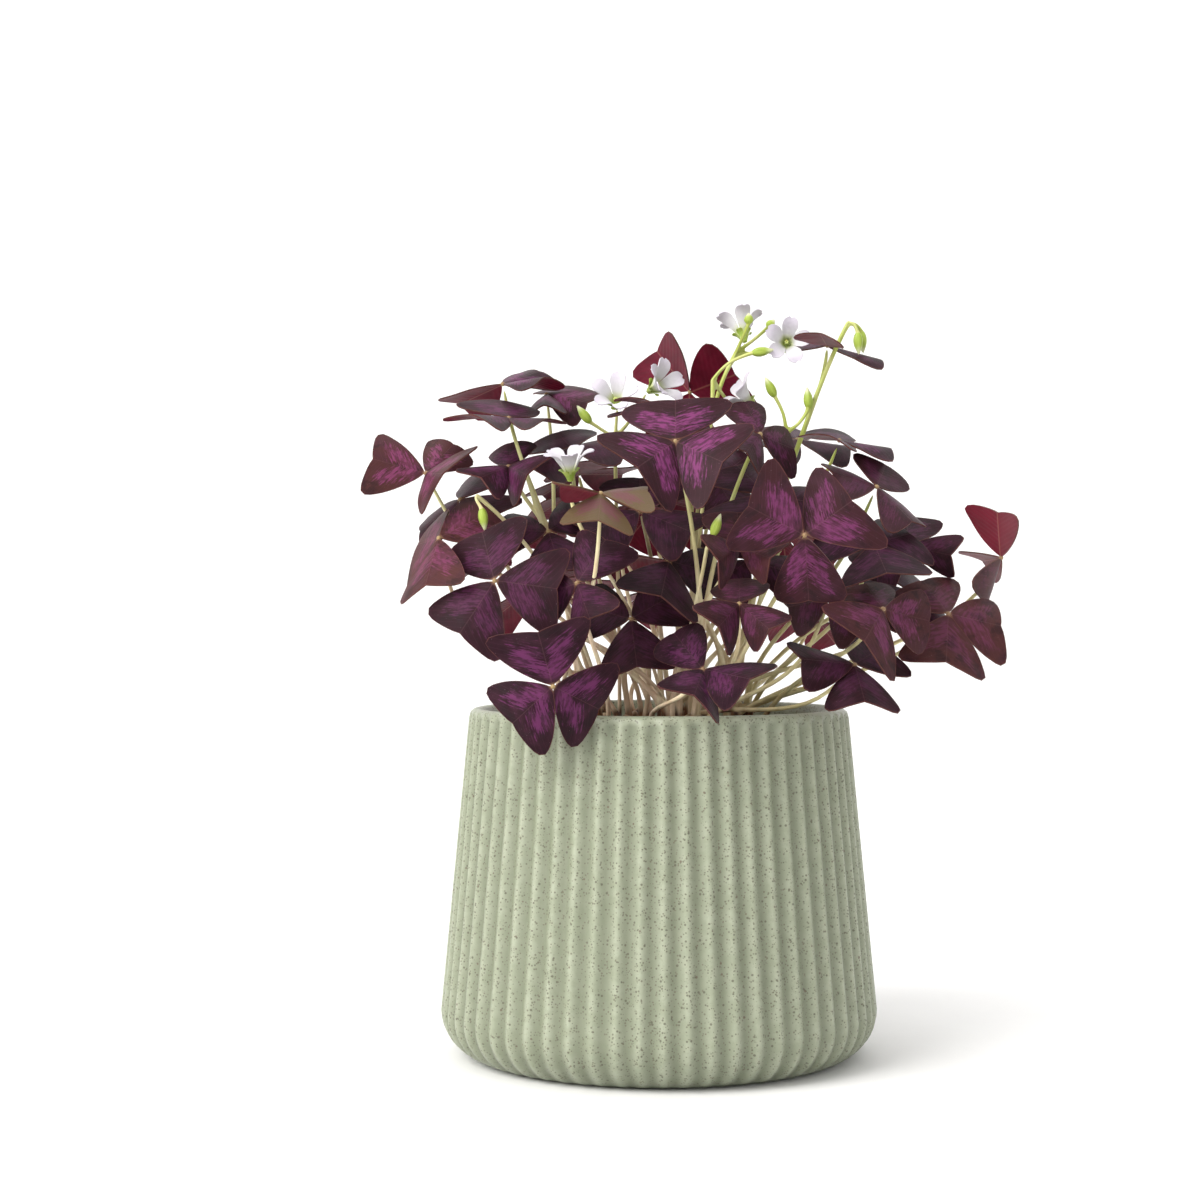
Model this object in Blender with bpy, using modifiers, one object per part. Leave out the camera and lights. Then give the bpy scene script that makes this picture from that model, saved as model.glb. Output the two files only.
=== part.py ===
# Purple shamrock in a ribbed round pot
# Metres, +Z up, pot axis on x = y = 0, underside of the pot on z = 0, front of the plant toward -Y
import math
import random

import bmesh
import bpy
from mathutils import Matrix, Vector
from mathutils.bvhtree import BVHTree

MM = 0.001

# Pot: widest just above its rounded foot, wall leaning in to a softly rounded lip
POT_HEIGHT = 143.0 * MM
POT_WIDEST_RADIUS = 90.0 * MM
POT_FOOT_ROUND = 19.5 * MM
POT_LEAN = 0.096
POT_WALL = 6.5 * MM
POT_FLOOR = 9.0 * MM
POT_RIBS = 60
POT_RIB_DEPTH = 0.9 * MM
LIP_ROUND = 4.0 * MM
LIP_INSET = 0.5 * MM
# The flat floor ends this far inside the foot, and the inner corner rises by this much
FLOOR_INSET = 8.0 * MM
FLOOR_CORNER = 14.0 * MM

# Soil: fills the pot to a little below the lip, with a pit for the bulbs
SOIL_TOP = 134.5 * MM
SOIL_LUMP = 1.3 * MM
SOIL_COLUMNS = 30
SOIL_RINGS = (0.35, 0.55, 0.72, 0.86)
SOIL_SEED = 11
PIT_RADIUS = 50.0 * MM
PIT_DEPTH = 12.0 * MM
FIT_GAP = 0.3 * MM
SOIL_GAP = 0.45 * MM

# Bulbs: a ring of little scaly bulbs over a flat clump of roots
CLUMP_HEIGHT = 8.0 * MM
CLUMP_LIFT = 0.4 * MM
ROOT_DEPTH = 6.5 * MM
BULB_COUNT = 13
BULB_RADIUS = 6.0 * MM
BULB_HEIGHT = 14.0 * MM
BULB_SPREAD = 39.0 * MM
BULB_SEED = 6
CLUMP_SIDES = 28

# Leaves: three leaflets that meet in a small heart over the stalk
LEAF_THICKNESS = 0.64 * MM
LEAFLET_HALF_ANGLE = math.atan2(0.585, 0.95)
LEAF_FOLD = 0.16
HIDDEN_DROOP = math.radians(22.0)
LEAF_CLEARANCE = 0.55 * MM
HEART_REACH = 4.0 * MM

# Stalks and flower stems
STALK_RADIUS_FOOT = 1.25 * MM
STALK_RADIUS_TOP = 0.75 * MM
SCAPE_RADIUS_TOP = 0.8 * MM
PEDICEL_RADIUS = 0.55 * MM
PEDICEL_SINK = 0.4 * MM
STALK_STEPS = 5
SCAPE_STEPS = 6
STALK_GAP = 0.5 * MM
STALK_SPREAD = 41.0 * MM
STEM_CLEARANCE = 0.3 * MM
STALK_DRAWS = 9000
BACK_STALK_DRAWS = 700
SCAPE_DRAWS = 3000

# Flowers
PETAL_THICKNESS = 0.6 * MM
BUD_RADIUS = 1.7 * MM
BUD_LENGTH = 9.0 * MM
SMALL_BUD_LENGTH = 4.0 * MM
BUD_SIDES = 5
# Stations of a bud: share of its length, share of its radius
BUD_STATIONS = [(0.0, 0.4), (0.4, 1.0), (1.0, 0.2)]
# Stations of a petal: out from the axis of the bloom, along it, half width, in mm
PETAL_STATIONS = [(0.9, 1.6, 0.6), (4.0, 8.5, 2.5), (7.6, 11.8, 3.3), (9.6, 12.4, 1.5)]
PETAL_CUP = 0.12
PETAL_TURN = 0.13

NEAR = -1.0
FAR = 1.0

# Leaves seen from the front, in mm. Each row: name, hub (across, depth, height), reach from
# the hub to a lobe tip, rough direction its upper side faces, and the lobe tips of its leaflets
# as (across from the hub, up from the hub, nearer or farther than the hub).
SEEN_LEAVES = [
    ("leaf_left_outer", (-95, -20, 239), 27, (-0.2, -0.5, 0.8), [
        ((-20, 16, FAR), (-26, -7, NEAR)), ((1, 15, FAR), (18, 6, FAR)), ((21, 9, NEAR), (1, -16, NEAR))]),
    ("leaf_left_top", (-65, 10, 278), 28, (-0.2, 0.3, 1.0), [
        ((-26, -8, NEAR), (-11, -14, FAR)), ((6, 7, FAR), (24, 0, FAR)), ((12, -4, NEAR), (26, -2, NEAR))]),
    ("leaf_left_roof", (-61, -25, 261), 27, (0.0, -0.35, 0.9), [
        ((-21, 7, FAR), (10, 5, FAR)), ((-26, -1, NEAR), (-4, -6, NEAR)), ((9, -6, NEAR), (23, -1, FAR))]),
    ("leaf_left_middle", (-61, -35, 241), 25, (0.0, -0.6, 0.8), [
        ((-8, 6, FAR), (10, 10, FAR)), ((-20, -3, NEAR), (-4, -14, NEAR)), ((18, 3, NEAR), (4, -16, NEAR))]),
    ("leaf_left_low", (-88, -45, 212), 30, (-0.6, -0.6, 0.5), [
        ((12, 17, FAR), (29, 0, FAR)), ((-14, -26, NEAR), (10, -18, NEAR)), ((0, 11, FAR), (-14, -19, FAR))]),
    ("leaf_front_left", (-65, -62, 195), 31, (-0.3, -0.8, 0.6), [
        ((-26, -13, FAR), (0, -31, FAR))]),
    ("leaf_front_shade", (-33, -75, 194), 26, (0.0, -0.9, 0.5), [
        ((-20, 5, FAR), (-14, -18, FAR)), ((16, -9, NEAR), (-1, -23, NEAR))]),
    ("leaf_over_rim_left", (-42, -90, 155), 28, (0.0, -1.0, 0.3), [
        ((-24, 18, FAR), (12, 26, FAR)), ((-25, -3, FAR), (-5, -26, FAR)), ((25, 6, FAR), (9, -23, FAR))]),
    ("leaf_front_pale", (-24, -82, 228), 24, (0.0, -0.4, 0.9), [
        ((-14, -12, NEAR), (11, -16, NEAR)), ((-18, 3, NEAR), (-15, -2, FAR)), ((20, -7, NEAR), (17, 3, FAR))]),
    ("leaf_front_centre", (2, -60, 249), 31, (0.0, -0.6, 0.8), [
        ((-30, 0, NEAR), (-4, -27, NEAR)), ((30, 4, NEAR), (10, -26, NEAR)), ((-19, 14, FAR), (21, 17, FAR))]),
    ("leaf_front_right", (53, -88, 212), 31, (0.1, -0.9, 0.3), [
        ((-14, 28, FAR), (-29, -3, FAR)), ((8, 26, FAR), (31, -2, FAR)), ((-9, -24, FAR), (16, -24, FAR))]),
    ("leaf_right_low", (85, -68, 184), 28, (0.3, -0.8, 0.5), [
        ((-24, -1, NEAR), (2, -27, NEAR)), ((19, 6, FAR), (17, -17, FAR)), ((-15, 5, FAR), (6, 8, FAR))]),
    ("leaf_over_rim_centre", (15, -80, 161), 28, (0.0, -0.9, 0.4), [
        ((-18, 6, FAR), (-1, 17, FAR)), ((-17, -6, NEAR), (4, -19, NEAR)), ((28, 1, FAR), (9, -14, NEAR))]),
    ("leaf_low_centre", (29, -76, 186), 24, (0.0, -0.7, 0.6), [
        ((-18, -2, NEAR), (-5, -19, NEAR)), ((6, -18, NEAR), (19, -6, NEAR)), ((-9, 6, FAR), (12, 8, FAR))]),
    ("leaf_middle_centre", (30, -62, 208), 24, (0.0, -0.7, 0.6), [
        ((-16, 3, NEAR), (-9, -16, NEAR)), ((18, 1, NEAR), (9, -14, NEAR))]),
    ("leaf_right_brown", (115, -35, 182), 30, (0.4, -0.8, 0.5), [
        ((-20, -18, NEAR), (12, -26, NEAR)), ((-20, 7, FAR), (6, 14, FAR))]),
    ("leaf_right_outer", (142, -10, 202), 28, (0.8, -0.4, 0.4), [
        ((-15, -12, NEAR), (-8, -26, FAR)), ((-12, 22, FAR), (2, 16, NEAR)), ((-14, 2, FAR), (1, -10, FAR))]),
    ("leaf_right_upper", (87, -30, 233), 26, (0.4, -0.6, 0.7), [
        ((-6, 14, FAR), (15, 1, FAR)), ((20, -16, FAR), (4, -19, NEAR)), ((-21, 10, FAR), (-19, -5, NEAR))]),
    ("leaf_back_raised", (14, 25, 276), 31, (0.0, 0.8, 0.6), [
        ((-10, 23, NEAR), (-24, 10, FAR)), ((8, 17, NEAR), (29, -9, NEAR))]),
    ("leaf_upper_centre", (40, -32, 254), 24, (0.0, -0.6, 0.8), [
        ((-16, -5, NEAR), (-2, -17, NEAR)), ((12, 3, FAR), (14, -17, FAR)), ((-13, 11, FAR), (2, 13, FAR))]),
    ("leaf_top_right", (70, 0, 293), 26, (0.1, -0.1, 1.0), [
        ((23, -9, FAR), (21, -11, NEAR)), ((-15, 1, NEAR), (3, -3, NEAR)), ((-15, 0, FAR), (4, 2, FAR))]),
    ("leaf_left_back", (-47, 15, 275), 27, (0.1, -0.4, 1.0), [
        ((13, -15, NEAR), (26, -1, NEAR)), ((-8, -12, NEAR), (8, -10, NEAR)), ((22, 1, FAR), (-4, 3, FAR))]),
    ("leaf_right_roof", (74, -10, 253), 26, (0.1, -0.3, 1.0), [
        ((-18, 0, NEAR), (3, -6, NEAR)), ((-13, 4, FAR), (8, 2, FAR)), ((22, -5, FAR), (20, -9, NEAR))]),
    ("leaf_right_crimson", (104, 5, 210), 26, (0.4, -0.3, 0.8), [
        ((21, 3, NEAR), (17, -13, NEAR))]),
    ("leaf_centre_shade", (3, -45, 200), 31, (0.0, -0.5, 0.8), [
        ((-30, 4, FAR), (-11, -6, FAR)), ((18, 4, FAR), (17, -15, FAR))]),
    ("leaf_right_shade", (84, -45, 210), 28, (0.3, -0.6, 0.7), [
        ((-13, -18, NEAR), (20, -13, NEAR))]),
    ("leaf_low_right_shade", (76, -50, 162), 28, (0.2, -0.7, 0.6), [
        ((-12, -17, NEAR), (15, -18, NEAR)), ((-26, 8, FAR), (-21, -9, NEAR))]),
    ("leaf_inner_right", (67, -40, 188), 24, (0.1, -0.6, 0.7), [
        ((-20, 2, FAR), (-14, -14, NEAR))]),
    ("leaf_upper_shade", (1, -20, 269), 24, (0.0, -0.2, 1.0), [
        ((-19, 2, NEAR), (2, -5, NEAR))]),
]

# Darker leaves that show between the ones above, in mm: name, hub, the way the upper side faces,
# turn of the leaf on its stalk, reach, droop
SHADE_LEAVES = [
    ("leaf_shade_left", (-38, -33, 215), (-0.1, -0.6, 0.7), 20, 28, 15),
    ("leaf_shade_middle", (-8, -28, 216), (0.0, -0.6, 0.7), 60, 29, 12),
    ("leaf_shade_low", (-12, -44, 180), (-0.1, -0.7, 0.5), 10, 27, 15),
    ("leaf_shade_right", (42, -34, 230), (0.1, -0.6, 0.7), 80, 28, 15),
    ("leaf_shade_upper_left", (-36, -12, 250), (-0.2, -0.4, 0.9), 100, 28, 10),
    ("leaf_shade_outer_left", (-82, -8, 222), (-0.5, -0.5, 0.7), 70, 28, 20),
    ("leaf_shade_outer_right", (106, -12, 197), (0.5, -0.5, 0.7), 30, 27, 18),
    ("leaf_shade_upper_right", (60, 28, 256), (0.1, -0.3, 0.9), 60, 28, 10),
    ("leaf_shade_inner", (24, 4, 238), (0.0, -0.6, 0.7), 20, 28, 12),
    ("leaf_shade_core", (34, -12, 204), (0.1, -0.6, 0.7), 70, 27, 15),
]

# Leaves of the back and the inside of the dome, drawn by a rule
DOME_CENTRE = Vector((8.0, 5.0, 165.0)) * MM
DOME_RADII = Vector((118.0, 100.0, 104.0)) * MM
BACK_LEAVES = 12
BACK_SEED = 7
GOLDEN_ANGLE = math.pi * (3.0 - math.sqrt(5.0))

# Flower stems, in mm: name, radius at the foot, foot (across, depth), a point just under the head,
# the head, and for each bloom or bud the end of its own little stem, the bow of that stem, the way
# it looks, its kind
FLOWER_STEMS = [
    ("high", 1.3, (12, 4), (16, -4, 275), (32, 0, 290), [
        ((36, 0, 293.5), (1, 2, -1), (-0.2, 0.5, 1.0), "bloom"),
        ((53, 6, 294), (0, 3, -2), (0.0, -1.0, 0.05), "bloom"),
        ((45, -3, 300), (1, -2, 0), (0.6, 0.0, 0.7), "small bud"),
        ((37, -8, 301), (0, -2, 0), (0.0, 0.0, 1.0), "small bud")]),
    ("middle", 0.9, (18, -14), (19, -12, 262), (22, -8, 278), [
        ((41, -8, 265), (4, 16, -10), (-0.75, -0.15, 0.65), "bloom"),
        ((38, -9, 289), (-2, 0, 2), (1.0, 0.0, 0.15), "bud")]),
    ("right", 1.3, (26, 6), (52, -6, 240), (52, -8, 256), [
        ((48, -6, 271), (2, 0, 0), (-0.45, 0.0, 0.9), "bud"),
        ((62, -6, 266), (1, 0, -1), (-0.1, 0.0, 1.0), "bud")]),
    ("left", 0.8, (-16, 4), (-18, 4, 238), (-18, 5, 255), [
        ((-17, 8, 267), (0, 0, 0), (-0.1, -0.8, 0.5), "bloom"),
        ((-5, 8, 274), (1, 2, -1), (0.6, -0.6, 0.35), "bloom"),
        ((-28, 2, 261), (0, 0, 0), (-0.6, 0.0, 0.75), "bud")]),
    ("low_left", 0.8, (-10, -24), (-34, -46, 216), (-35.5, -48, 226), [
        ((-35.7, -50, 233), (0, 0, 0), (-0.1, -0.3, 1.0), "bloom")]),
    ("arching", 0.8, (-20, -20), (-62, -45, 222), (-73, -45, 229), [
        ((-71, -46, 224), (-1.5, 0, 1), (0.15, 0.0, -1.0), "bud")]),
    ("front", 0.8, (6, -26), (15, -64, 200), (17, -68, 208), [
        ((19, -70, 212), (0, 0, 0), (0.35, 0.0, 0.95), "bud")]),
    ("hanging", 1.6, (30, 2), (70, -5, 290), (78, -5, 302), [
        ((82, -6, 298), (1, 0, 1), (0.05, 0.0, -1.0), "bud"),
        ((84, -2, 299), (1, 0, 1), (0.1, 0.2, -1.0), "bud")]),
]

# Half outline of a leaflet: share of half width, share of length, from the knob to the notch
LEAFLET_HALF = [(0.020, 0.045), (0.43, 0.47), (0.63, 0.79), (0.575, 0.955), (0.28, 0.95)]
LEAFLET_NOTCH = 0.875
LEAFLET_MIDDLE = 0.50


def empty_scene():
    for thing in list(bpy.data.objects):
        bpy.data.objects.remove(thing, do_unlink=True)
    for mesh in list(bpy.data.meshes):
        bpy.data.meshes.remove(mesh)


def new_collection(name):
    group = bpy.data.collections.new(name)
    bpy.context.scene.collection.children.link(group)
    return group


def colour(name, rgb, roughness):
    paint = bpy.data.materials.new(name)
    paint.use_nodes = True
    shader = paint.node_tree.nodes["Principled BSDF"]
    shader.inputs["Base Color"].default_value = (rgb[0], rgb[1], rgb[2], 1.0)
    shader.inputs["Roughness"].default_value = roughness
    return paint


def add_object(name, mesh, group):
    thing = bpy.data.objects.new(name, mesh)
    group.objects.link(thing)
    return thing


def face_outward(body):
    bmesh.ops.recalc_face_normals(body, faces=body.faces)
    if body.calc_volume(signed=True) < 0.0:
        bmesh.ops.reverse_faces(body, faces=body.faces)


def mesh_of(name, points, faces):
    mesh = bpy.data.meshes.new(name)
    mesh.from_pydata([tuple(p) for p in points], [], faces)
    body = bmesh.new()
    body.from_mesh(mesh)
    face_outward(body)
    body.to_mesh(mesh)
    body.free()
    mesh.update()
    return mesh


def apply_modifiers(thing):
    graph = bpy.context.evaluated_depsgraph_get()
    graph.update()
    mesh = bpy.data.meshes.new_from_object(thing.evaluated_get(graph), depsgraph=graph)
    old = thing.data
    thing.modifiers.clear()
    thing.data = mesh
    bpy.data.meshes.remove(old)


def clean(thing, distance=0.00001):
    body = bmesh.new()
    body.from_mesh(thing.data)
    bmesh.ops.remove_doubles(body, verts=body.verts, dist=distance)
    bmesh.ops.dissolve_degenerate(body, edges=body.edges, dist=0.000001)
    bmesh.ops.triangulate(body, faces=body.faces)
    body.to_mesh(thing.data)
    body.free()
    thing.data.update()


def join_by_union(thing, meshes):
    # One Boolean union on a collection of the repeats, which then go
    group = new_collection("repeats")
    for number, mesh in enumerate(meshes):
        add_object("repeat_%d" % number, mesh, group)
    union = thing.modifiers.new("union", "BOOLEAN")
    union.operation = "UNION"
    union.operand_type = "COLLECTION"
    union.collection = group
    union.solver = "EXACT"
    apply_modifiers(thing)
    for repeat in list(group.objects):
        bpy.data.objects.remove(repeat, do_unlink=True)
    bpy.data.collections.remove(group)


def cut_by(thing, cutter):
    cut = thing.modifiers.new("cut", "BOOLEAN")
    cut.operation = "DIFFERENCE"
    cut.object = cutter
    cut.solver = "EXACT"
    apply_modifiers(thing)


def turned_body(name, profile, steps, group):
    # Screw of a half profile that runs from the axis round the outer side and back to the axis
    mesh = bpy.data.meshes.new(name)
    mesh.from_pydata([(r, 0.0, z) for r, z in profile], [(i, i + 1) for i in range(len(profile) - 1)], [])
    thing = add_object(name, mesh, group)
    screw = thing.modifiers.new("screw", "SCREW")
    screw.axis = "Z"
    screw.steps = steps
    screw.render_steps = steps
    screw.use_merge_vertices = True
    screw.merge_threshold = 0.00001
    screw.use_normal_calculate = True
    apply_modifiers(thing)
    clean_turned(thing)
    return thing


def clean_turned(thing):
    body = bmesh.new()
    body.from_mesh(thing.data)
    bmesh.ops.remove_doubles(body, verts=body.verts, dist=0.00001)
    bmesh.ops.recalc_face_normals(body, faces=body.faces)
    body.to_mesh(thing.data)
    body.free()


def wall_radius(height):
    return POT_WIDEST_RADIUS - POT_LEAN * (height - POT_FOOT_ROUND)


def inner_low_radius():
    return wall_radius(POT_FLOOR + FLOOR_CORNER) - POT_WALL


def inner_top_radius():
    return wall_radius(POT_HEIGHT - LIP_ROUND) - POT_WALL - LIP_INSET


def make_pot(group):
    foot = POT_WIDEST_RADIUS - POT_FOOT_ROUND
    top = wall_radius(POT_HEIGHT - LIP_ROUND)
    inside = inner_top_radius()
    profile = [(0.0, POT_FLOOR), (foot - FLOOR_INSET, POT_FLOOR)]
    profile.append((inner_low_radius(), POT_FLOOR + FLOOR_CORNER))
    # The lip: inner corner, inner slope, crest, outer slope, outer corner
    profile.append((inside, POT_HEIGHT - LIP_ROUND))
    profile.append((inside + 1.2 * MM, POT_HEIGHT - 0.9 * MM))
    profile.append((inside + 3.4 * MM, POT_HEIGHT))
    profile.append((top - 1.3 * MM, POT_HEIGHT - 1.1 * MM))
    profile.append((top, POT_HEIGHT - LIP_ROUND))
    profile.append((POT_WIDEST_RADIUS, POT_FOOT_ROUND))
    for angle in (35.0, 65.0, 90.0):
        turn = math.radians(angle)
        profile.append((foot + POT_FOOT_ROUND * math.cos(turn), POT_FOOT_ROUND * (1.0 - math.sin(turn))))
    profile.append((0.0, 0.0))
    pot = turned_body("pot", profile, 2 * POT_RIBS, group)
    # The ribs: every second column of the outside is drawn in
    for vertex in pot.data.vertices:
        x, y, z = vertex.co
        radius = math.hypot(x, y)
        column = round(math.degrees(math.atan2(y, x)) / (180.0 / POT_RIBS))
        on_wall = radius > wall_radius(z) - 0.6 * MM and z > POT_FOOT_ROUND - 0.1 * MM
        on_wall = on_wall and z < POT_HEIGHT - LIP_ROUND + 0.1 * MM
        on_foot = radius > foot + 2 * MM and z < POT_FOOT_ROUND
        if column % 2 and (on_wall or on_foot):
            share = (radius - POT_RIB_DEPTH) / radius
            vertex.co = Vector((x * share, y * share, z))
    clean(pot)
    return pot


def make_soil(group, cutters):
    floor = POT_FLOOR + SOIL_GAP
    low = POT_FLOOR + FLOOR_CORNER
    rim = inner_low_radius()
    share = (SOIL_TOP - low) / (POT_HEIGHT - LIP_ROUND - low)
    edge = rim + (inner_top_radius() - rim) * share - SOIL_GAP
    profile = [(0.0, SOIL_TOP)]
    profile += [(edge * ring, SOIL_TOP) for ring in SOIL_RINGS]
    profile.append((edge, SOIL_TOP))
    profile.append((rim - SOIL_GAP, low))
    profile.append((POT_WIDEST_RADIUS - POT_FOOT_ROUND - FLOOR_INSET - SOIL_GAP, floor))
    profile.append((0.0, floor))
    soil = turned_body("soil", profile, SOIL_COLUMNS, group)
    draw = random.Random(SOIL_SEED)
    for vertex in sorted(soil.data.vertices, key=lambda v: tuple(round(c, 6) for c in v.co)):
        if vertex.co.z > SOIL_TOP - 0.1 * MM:
            lump = draw.uniform(-1.0, 1.0) * SOIL_LUMP
            if math.hypot(vertex.co.x, vertex.co.y) > edge - 0.5 * MM:
                lump = -abs(lump)
            vertex.co.z += lump
    clean(soil)
    cutter = add_object("pit_cutter", disc_mesh("pit", PIT_RADIUS, 2 * PIT_DEPTH, SOIL_TOP), cutters)
    cutter.hide_render = True
    cutter.display_type = "WIRE"
    bpy.context.view_layer.update()
    cut_by(soil, cutter)
    clean(soil)
    return soil


def disc_mesh(name, radius, depth, middle):
    # A flat round block with its middle at the given height
    mesh = bpy.data.meshes.new(name)
    body = bmesh.new()
    bmesh.ops.create_cone(body, cap_ends=True, segments=CLUMP_SIDES, radius1=radius, radius2=radius,
                          depth=depth)
    bmesh.ops.translate(body, verts=body.verts, vec=(0.0, 0.0, middle))
    bmesh.ops.triangulate(body, faces=body.faces)
    body.to_mesh(mesh)
    body.free()
    return mesh


def lobe_tip(reach, mark):
    across, up, side = mark
    depth = math.sqrt(max(reach * reach - across * across - up * up, 0.0)) * side
    return Vector((across, depth, up)) * MM


def upper_normal(tip_a, tip_b, facing):
    normal = tip_a.cross(tip_b).normalized()
    if normal.dot(facing) < 0.0:
        normal.negate()
    return normal


def leaf_axis(tips, facing):
    axis = Vector((0.0, 0.0, 0.0))
    for tip_a, tip_b in tips:
        axis += upper_normal(tip_a, tip_b, facing)
    return axis.normalized()


def complete_leaf(tips, reach, facing):
    # Leaflets that can't be seen take the free directions round the leaf's own axis
    axis = facing.normalized()
    for tip_a, tip_b in tips:
        axis = axis + upper_normal(tip_a, tip_b, facing)
    axis.normalize()
    spread = []
    for tip_a, tip_b in tips:
        middle = tip_a + tip_b
        spread.append((middle - axis * middle.dot(axis)).normalized())
    if len(spread) == 2:
        free = [-(spread[0] + spread[1])]
    elif len(spread) == 1:
        turn = Matrix.Rotation(math.radians(120.0), 3, axis)
        free = [turn @ spread[0], turn @ (turn @ spread[0])]
    else:
        free = []
    result = list(tips)
    for way in free:
        result.append(leaflet_tips(axis, way.normalized(), reach * MM, HIDDEN_DROOP))
    return result


def leaflet_tips(axis, way, reach, droop):
    middle = way * math.cos(droop) - axis * math.sin(droop)
    side = axis.cross(way).normalized()
    tips = []
    for sign in (1.0, -1.0):
        tip = middle * math.cos(LEAFLET_HALF_ANGLE) + side * (sign * math.sin(LEAFLET_HALF_ANGLE))
        tips.append(tip * reach)
    return tuple(tips)


def three_leaflets(facing, turn, reaches, droops):
    # The first leaflet hangs down the slope of the leaf, turned by the given angle
    slope = Vector((0.0, 0.0, -1.0)) + facing * facing.z
    if slope.length < 0.01:
        slope = Vector((0.0, -1.0, 0.0))
    slope.normalize()
    tips = []
    for leaflet in range(3):
        way = Matrix.Rotation(turn + leaflet * math.tau / 3, 3, facing) @ slope
        tips.append(leaflet_tips(facing, way, reaches[leaflet], droops[leaflet]))
    return tips


def leaflet_points(hub, tip_a, tip_b, facing):
    # The rim from the heart round both lobes and back, then a point on the midrib
    normal = upper_normal(tip_a, tip_b, facing)
    along = (tip_a + tip_b) / (2 * 0.95)
    across = (tip_b - tip_a) / (2 * 0.585)
    if along.cross(across).dot(normal) < 0.0:
        across = -across
    rise = along.length * LEAF_FOLD
    shape = list(LEAFLET_HALF)
    shape.append((0.0, LEAFLET_NOTCH))
    shape += [(-x, y) for x, y in reversed(LEAFLET_HALF)]
    shape.append((0.0, LEAFLET_MIDDLE))
    points = []
    for x, y in shape:
        fold = rise * (y - 1.62 * abs(x))
        points.append(hub + along * y + across * x + normal * fold)
    return points, normal


def leaf_surface(hub, tips, facing, thickness):
    # The closed skin of a leaf: both faces split alike, the cut edges, and the heart. The leaflets
    # are taken the same way round as their rims run.
    axis = leaf_axis(tips, facing)
    first = axis.orthogonal().normalized()
    second = axis.cross(first)
    order = sorted(tips, key=lambda t: -math.atan2((t[0] + t[1]).dot(second), (t[0] + t[1]).dot(first)))
    upper = []
    lower = []
    for tip_a, tip_b in order:
        points, normal = leaflet_points(hub, tip_a, tip_b, facing)
        upper += [p + normal * (thickness / 2) for p in points]
        lower += [p - normal * (thickness / 2) for p in points]
    each = 2 * len(LEAFLET_HALF) + 2
    shift = len(upper)
    surface = []
    edges = []
    for leaflet in range(3):
        start = leaflet * each
        inner = start + each - 1
        last = inner - 1
        for i in range(start, last):
            surface.append((i, i + 1, inner))
            edges.append((i, i + 1))
        surface.append((last, start, inner))
        follow = ((leaflet + 1) % 3) * each
        edges.append((last, follow))
    heart = []
    for leaflet in range(3):
        heart += [leaflet * each, leaflet * each + each - 2]
    for i in range(1, 5):
        surface.append((heart[0], heart[i + 1], heart[i]))
    faces = list(surface)
    faces += [(c + shift, b + shift, a + shift) for a, b, c in surface]
    for i, j in edges:
        faces.append((i, i + shift, j + shift))
        faces.append((i, j + shift, j))
    return upper + lower, faces


def make_leaf(name, hub, tips, facing, group):
    points, faces = leaf_surface(hub, tips, facing, LEAF_THICKNESS)
    leaf = add_object(name, mesh_of(name, points, faces), group)
    leaf.data.materials.append(colour(name, (0.09, 0.03, 0.08), 0.5))


def is_clear(points, faces, others):
    tree = BVHTree.FromPolygons(points, faces)
    for other in others:
        if tree.overlap(other):
            return False
    return True


def shifts_near(loose):
    # Places to try for a leaf that would touch another: deeper or nearer first, then sideways
    sides = [(0, 0), (0, 3), (0, -3), (3, 0), (-3, 0)]
    if loose:
        sides += [(7, 0), (-7, 0), (0, 7), (0, -7), (7, 7), (-7, 7), (7, -7), (-7, -7)]
    tries = [Vector((0.0, 0.0, 0.0))]
    for step in (3, 6, 9, 12, 16, 20, 25):
        for sign in (1, -1):
            for across, up in sides:
                tries.append(Vector((across, sign * step, up)) * MM)
    return tries


def leaf_hull(hub, tips, facing):
    # The skin of a leaf with its clearance added
    return leaf_surface(hub, tips, facing, LEAF_THICKNESS + 2 * LEAF_CLEARANCE)


def stem_hull(points, radius):
    # A square sleeve round a stem, for the clearance tests
    places = []
    faces = []
    for index in range(len(points) - 1):
        way = (points[index + 1] - points[index]).normalized()
        side = way.orthogonal().normalized()
        other = way.cross(side)
        start = len(places)
        for end in (points[index], points[index + 1]):
            for k in range(4):
                turn = k * math.pi / 2
                places.append(end + (side * math.cos(turn) + other * math.sin(turn)) * radius)
        for k in range(4):
            follow = (k + 1) % 4
            faces.append((start + k, start + follow, start + 4 + follow))
            faces.append((start + k, start + 4 + follow, start + 4 + k))
    return places, faces


def place_leaf(name, hub, tips, facing, loose, trees):
    # The first place near the given one where the leaf touches nothing
    for shift in shifts_near(loose):
        points, faces = leaf_hull(hub + shift, tips, facing)
        if is_clear(points, faces, trees):
            trees.append(BVHTree.FromPolygons(points, faces))
            return name, hub + shift, tips, facing
    raise ValueError("no room for " + name)


def plan_front_leaves(fixed):
    placed = []
    trees = list(fixed)
    for name, place, reach, facing, marks in SEEN_LEAVES:
        facing = Vector(facing)
        tips = [(lobe_tip(reach, a), lobe_tip(reach, b)) for a, b in marks]
        tips = complete_leaf(tips, reach, facing)
        placed.append(place_leaf(name, Vector(place) * MM, tips, facing, False, trees))
    for name, place, facing, turn, reach, droop in SHADE_LEAVES:
        facing = Vector(facing).normalized()
        tips = three_leaflets(facing, math.radians(turn), [reach * MM] * 3, [math.radians(droop)] * 3)
        placed.append(place_leaf(name, Vector(place) * MM, tips, facing, True, trees))
    return placed


def back_leaf_allowed(hub):
    return -74 * MM < hub.x < 100 * MM and 178 * MM < hub.z < 268 * MM and hub.y > -20 * MM


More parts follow.
